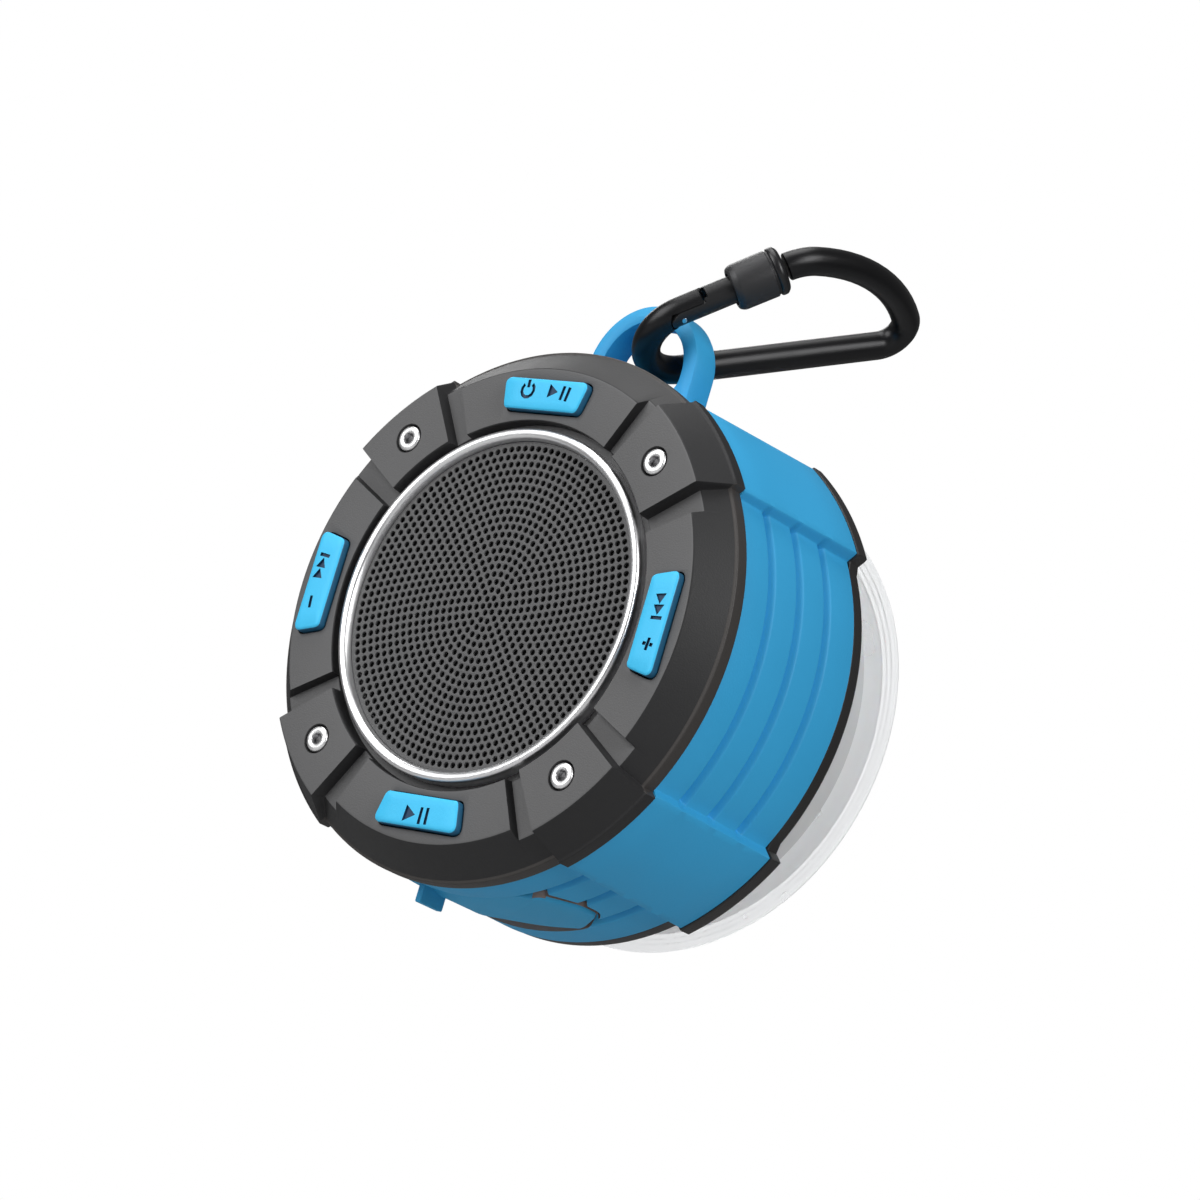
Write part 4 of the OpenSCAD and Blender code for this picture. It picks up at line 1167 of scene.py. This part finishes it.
narrow_at = Vector((0, NARROW_R))
gate_side = left_of(GATE_ANGLE)
hinge_at = narrow_at + NARROW_R * gate_side
corner_at = Vector((SPINE, CORNER_R))
back_at = corner_at + (CORNER_R - BACK_R) * left_of(TURN_A)
back_end = back_at + BACK_R * left_of(TURN_B)
nose_r = gate_side.dot(hinge_at - back_end) / gate_side.dot(gate_side - left_of(TURN_B))
nose_at = back_end - nose_r * left_of(TURN_B)
nose_start = nose_at + nose_r * gate_side
GATE_LENGTH = (nose_start - hinge_at).length
gate_way = (nose_start - hinge_at).normalized()


def on_plane(p, up=0):
    """A point of the carabiner's own X and Y, raised out of its plane."""
    return (hinge_world + (p.x - hinge_at.x) * plane_x + (p.y - hinge_at.y) * plane_y
            + up * plane_up) * MM


def on_gate(x, y, up=0):
    """A point x mm along the gate from its hinge and y mm outward."""
    return (hinge_world + x * along_gate + y * across_gate + up * plane_up) * MM


print(f"gate length {GATE_LENGTH:.2f}, nose radius {nose_r:.2f}")

# %% [markdown]
# The rod is bent from one bar, so it is one circle carried along a line of arcs and
# straights. The circle always stands square to the line, and it is a little smaller at the
# bar's two ends, where the edge is deburred.

# %% The bent bar
def bend(centre, r, start, end, step_turn=math.radians(4)):
    """Places and headings along an arc of the bar."""
    steps = max(2, round(abs(end - start) / step_turn))
    turns = [start + (end - start) * k / steps for k in range(steps + 1)]
    return [(centre + r * left_of(t), t) for t in turns]


TANG_HALF, LEG_R, LIP_LOW, LIP_END, PIN_R = 0.9, 1.9, 1.5, 3.6, 0.6
DEBURR, ROD_SIDES = 0.2, 40
track = [(hinge_at + gate_way * x, GATE_ANGLE) for x in (LIP_END, LIP_END - 0.15, 2, 1)]
track += bend(narrow_at, NARROW_R, GATE_ANGLE, math.pi)
track += [(Vector((x, 0)), math.pi) for x in (8, 16, 24)]
track += bend(corner_at, CORNER_R, math.pi, TURN + TURN_A)
track += bend(back_at, BACK_R, TURN_A, TURN_B)[1:]
track += bend(nose_at, nose_r, TURN_B, GATE_ANGLE)[1:-1]
track += [(nose_start + gate_way * DEBURR, GATE_ANGLE), (nose_start, GATE_ANGLE)]
rod_loops = []
for k, (place, turn) in enumerate(track):
    r = ROD_R - DEBURR if k in (0, len(track) - 1) else ROD_R
    rod_loops.append([on_plane(place + left_of(turn) * r * math.cos(TURN * j / ROD_SIDES),
                               r * math.sin(TURN * j / ROD_SIDES)) for j in range(ROD_SIDES)])
rod = skin("carabiner", rod_loops, ["carabiner_black"])
print("places along the rod:", len(track))

# %% [markdown]
# The gate turns on a flat tang, which is milled from the rod: two cutters thin it from both
# sides and leave a lip above, a third makes room for the gate to swing inward, and a thin
# column bores the pin's hole. The cutters are flat outlines raised across the plane, so they
# only have to be drawn in the gate's own X and Y.

# %% Mill the tang
CUT_LONG, CUT_LOW, CUT_UP = 6, -3, 4


def gate_prism(outline, low, high, material):
    """An outline in the gate's X and Y, raised from low to high across the plane."""
    return skin("prism", [[on_gate(x, y, up) for x, y in outline] for up in (low, high)],
                [material])


beside_tang = ([(CUT_LONG, CUT_LOW), (CUT_LONG, LIP_LOW), (-1.45, LIP_LOW)]
               + arc(0, 0, LEG_R + 0.2, 134, 270, 20) + [(0, CUT_LOW)])
swing_room = [(0, CUT_LOW), (CUT_LONG, CUT_LOW), (CUT_LONG, 0.6)] + arc(0, 0, LEG_R, 18.4, -90, 20)
pin_hole = circle(0, 0, PIN_R + 0.04, 24)
combine(rod, [gate_prism(outline, low, high, "carabiner_black") for outline, low, high in (
    (beside_tang, TANG_HALF, CUT_UP), (beside_tang, -CUT_UP, -TANG_HALF),
    (swing_room, -CUT_UP, CUT_UP), (pin_hole, -5, 5))])
hand_over(rod, "carabiner", "carabiner_black", "carabiner_body")

# %% [markdown]
# ## Gate and pin
#
# The gate is a thinner rod with a thread on it and a fork at one end. The fork's cheeks are
# the part of a flat outline that lies inside the rod's own cylinder, so an intersection makes
# them, and a slot then parts them. Plain ridges stand for the thread, because the sleeve
# hides it almost whole. The pin is a small rivet with rounded ends.

# %% Gate and pin
GATE_R, GATE_START, SLOT_END, GATE_TIP = 2.1, 3.75, 4.4, GATE_LENGTH - 0.25
SLOT_HALF, SPRING_R, CHEEK_TOP = 0.97, 1.1, LIP_LOW - 0.12
THREAD_LOW, THREAD_PITCH, THREADS, THREAD_R = 8.6, 0.9, 7, 2.45


def round_gate(r, angle, x):
    """Cylinder coordinates round the gate's own axis."""
    return on_gate(x, r * math.cos(angle), r * math.sin(angle))


def round_pin(r, angle, up):
    """Cylinder coordinates round the hinge pin."""
    return on_gate(r * math.cos(angle), r * math.sin(angle), up)


cheeks = gate_prism([(4.2, -2.3), (4.2, CHEEK_TOP), (-0.34, CHEEK_TOP)]
                    + arc(0, 0, LEG_R, 163, 270, 20) + [(0.3, -2.3)], -3, 3, "gate_black")
around = skin("around", column(round_gate, [(GATE_R, -3), (GATE_R, 6)]), ["gate_black"])
combine(cheeks, [around], "INTERSECT")
gate_levels = [(GATE_R - 0.15, GATE_START), (GATE_R, GATE_START + 0.15)]
for k in range(THREADS):
    low = THREAD_LOW + THREAD_PITCH * k
    gate_levels += [(GATE_R, low), (THREAD_R, low + 0.3), (THREAD_R, low + 0.5),
                    (GATE_R, low + 0.8)]
gate_levels += [(GATE_R, GATE_TIP - 0.5), (GATE_R - 0.15, GATE_TIP - 0.15), (1.5, GATE_TIP)]
gate = skin("gate", column(round_gate, gate_levels), ["gate_black"])
slot = gate_prism([(-4, -3), (SLOT_END, -3), (SLOT_END, 3), (-4, 3)], -SLOT_HALF, SLOT_HALF,
                  "gate_black")
spring_bore = skin("spring_bore", column(round_gate, [(SPRING_R, SLOT_END - 0.1),
                                                      (SPRING_R, 8.8)]), ["gate_black"])
combine(gate, [cheeks], "UNION")
combine(gate, [slot, spring_bore])
hand_over(gate, "gate", "gate_black", "carabiner_gate")
pin_half = [(PIN_R, 1.9), (0.5, 2.06), (0.25, 2.12)]
pin_levels = [(r, -up) for r, up in reversed(pin_half)] + pin_half
hand_over(skin("pin", column(round_pin, pin_levels, 32), ["pin_steel"]), "carabiner",
          "pin_steel", "gate_pin")

# %% [markdown]
# ## Sleeve and collar
#
# The screw sleeve slides along the gate and locks it. It is turned round the gate's own axis:
# a grey tube with a tapered hinge end, a shallow groove, and a black collar at the nose end,
# which is a piece of its own.

# %% Sleeve and collar
SLEEVE_BORE, SLEEVE_R, SLEEVE_LOW, COLLAR_LOW = 2.56, 3.7, 8.3, 14.9
SLEEVE_HIGH = GATE_LENGTH - 0.5


def turned_on_gate(name, corners, material, sides=96):
    """One outline of (radius, place along the gate, reach) turned round the gate."""
    outline = rounded(corners)
    return skin(name, [[round_gate(p.x, TURN * k / sides, p.y) for p in outline]
                       for k in range(sides)], [material], ring=True)


sleeve_corners = [(SLEEVE_BORE, SLEEVE_LOW, 0.1), (SLEEVE_R - 0.6, SLEEVE_LOW, 0.3),
                  (SLEEVE_R - 0.15, SLEEVE_LOW + 0.8, 0.4),
                  (SLEEVE_R - 0.12, COLLAR_LOW - 0.45, 0.1),
                  (SLEEVE_R - 0.35, COLLAR_LOW - 0.3, 0.08),
                  (SLEEVE_R - 0.35, COLLAR_LOW, 0.05), (SLEEVE_BORE, COLLAR_LOW, 0.05)]
hand_over(turned_on_gate("sleeve", sleeve_corners, "sleeve_grey"), "sleeve", "sleeve_grey",
          "lock_sleeve")
collar_corners = [(SLEEVE_BORE, COLLAR_LOW, 0.05), (SLEEVE_R - 0.1, COLLAR_LOW, 0.15),
                  (SLEEVE_R, COLLAR_LOW + 0.3, 0.15), (SLEEVE_R, SLEEVE_HIGH - 0.55, 0.3),
                  (SLEEVE_R - 0.6, SLEEVE_HIGH, 0.25), (SLEEVE_BORE, SLEEVE_HIGH, 0.1)]
hand_over(turned_on_gate("collar", collar_corners, "sleeve_end_black"), "sleeve",
          "sleeve_end_black", "sleeve_ring")
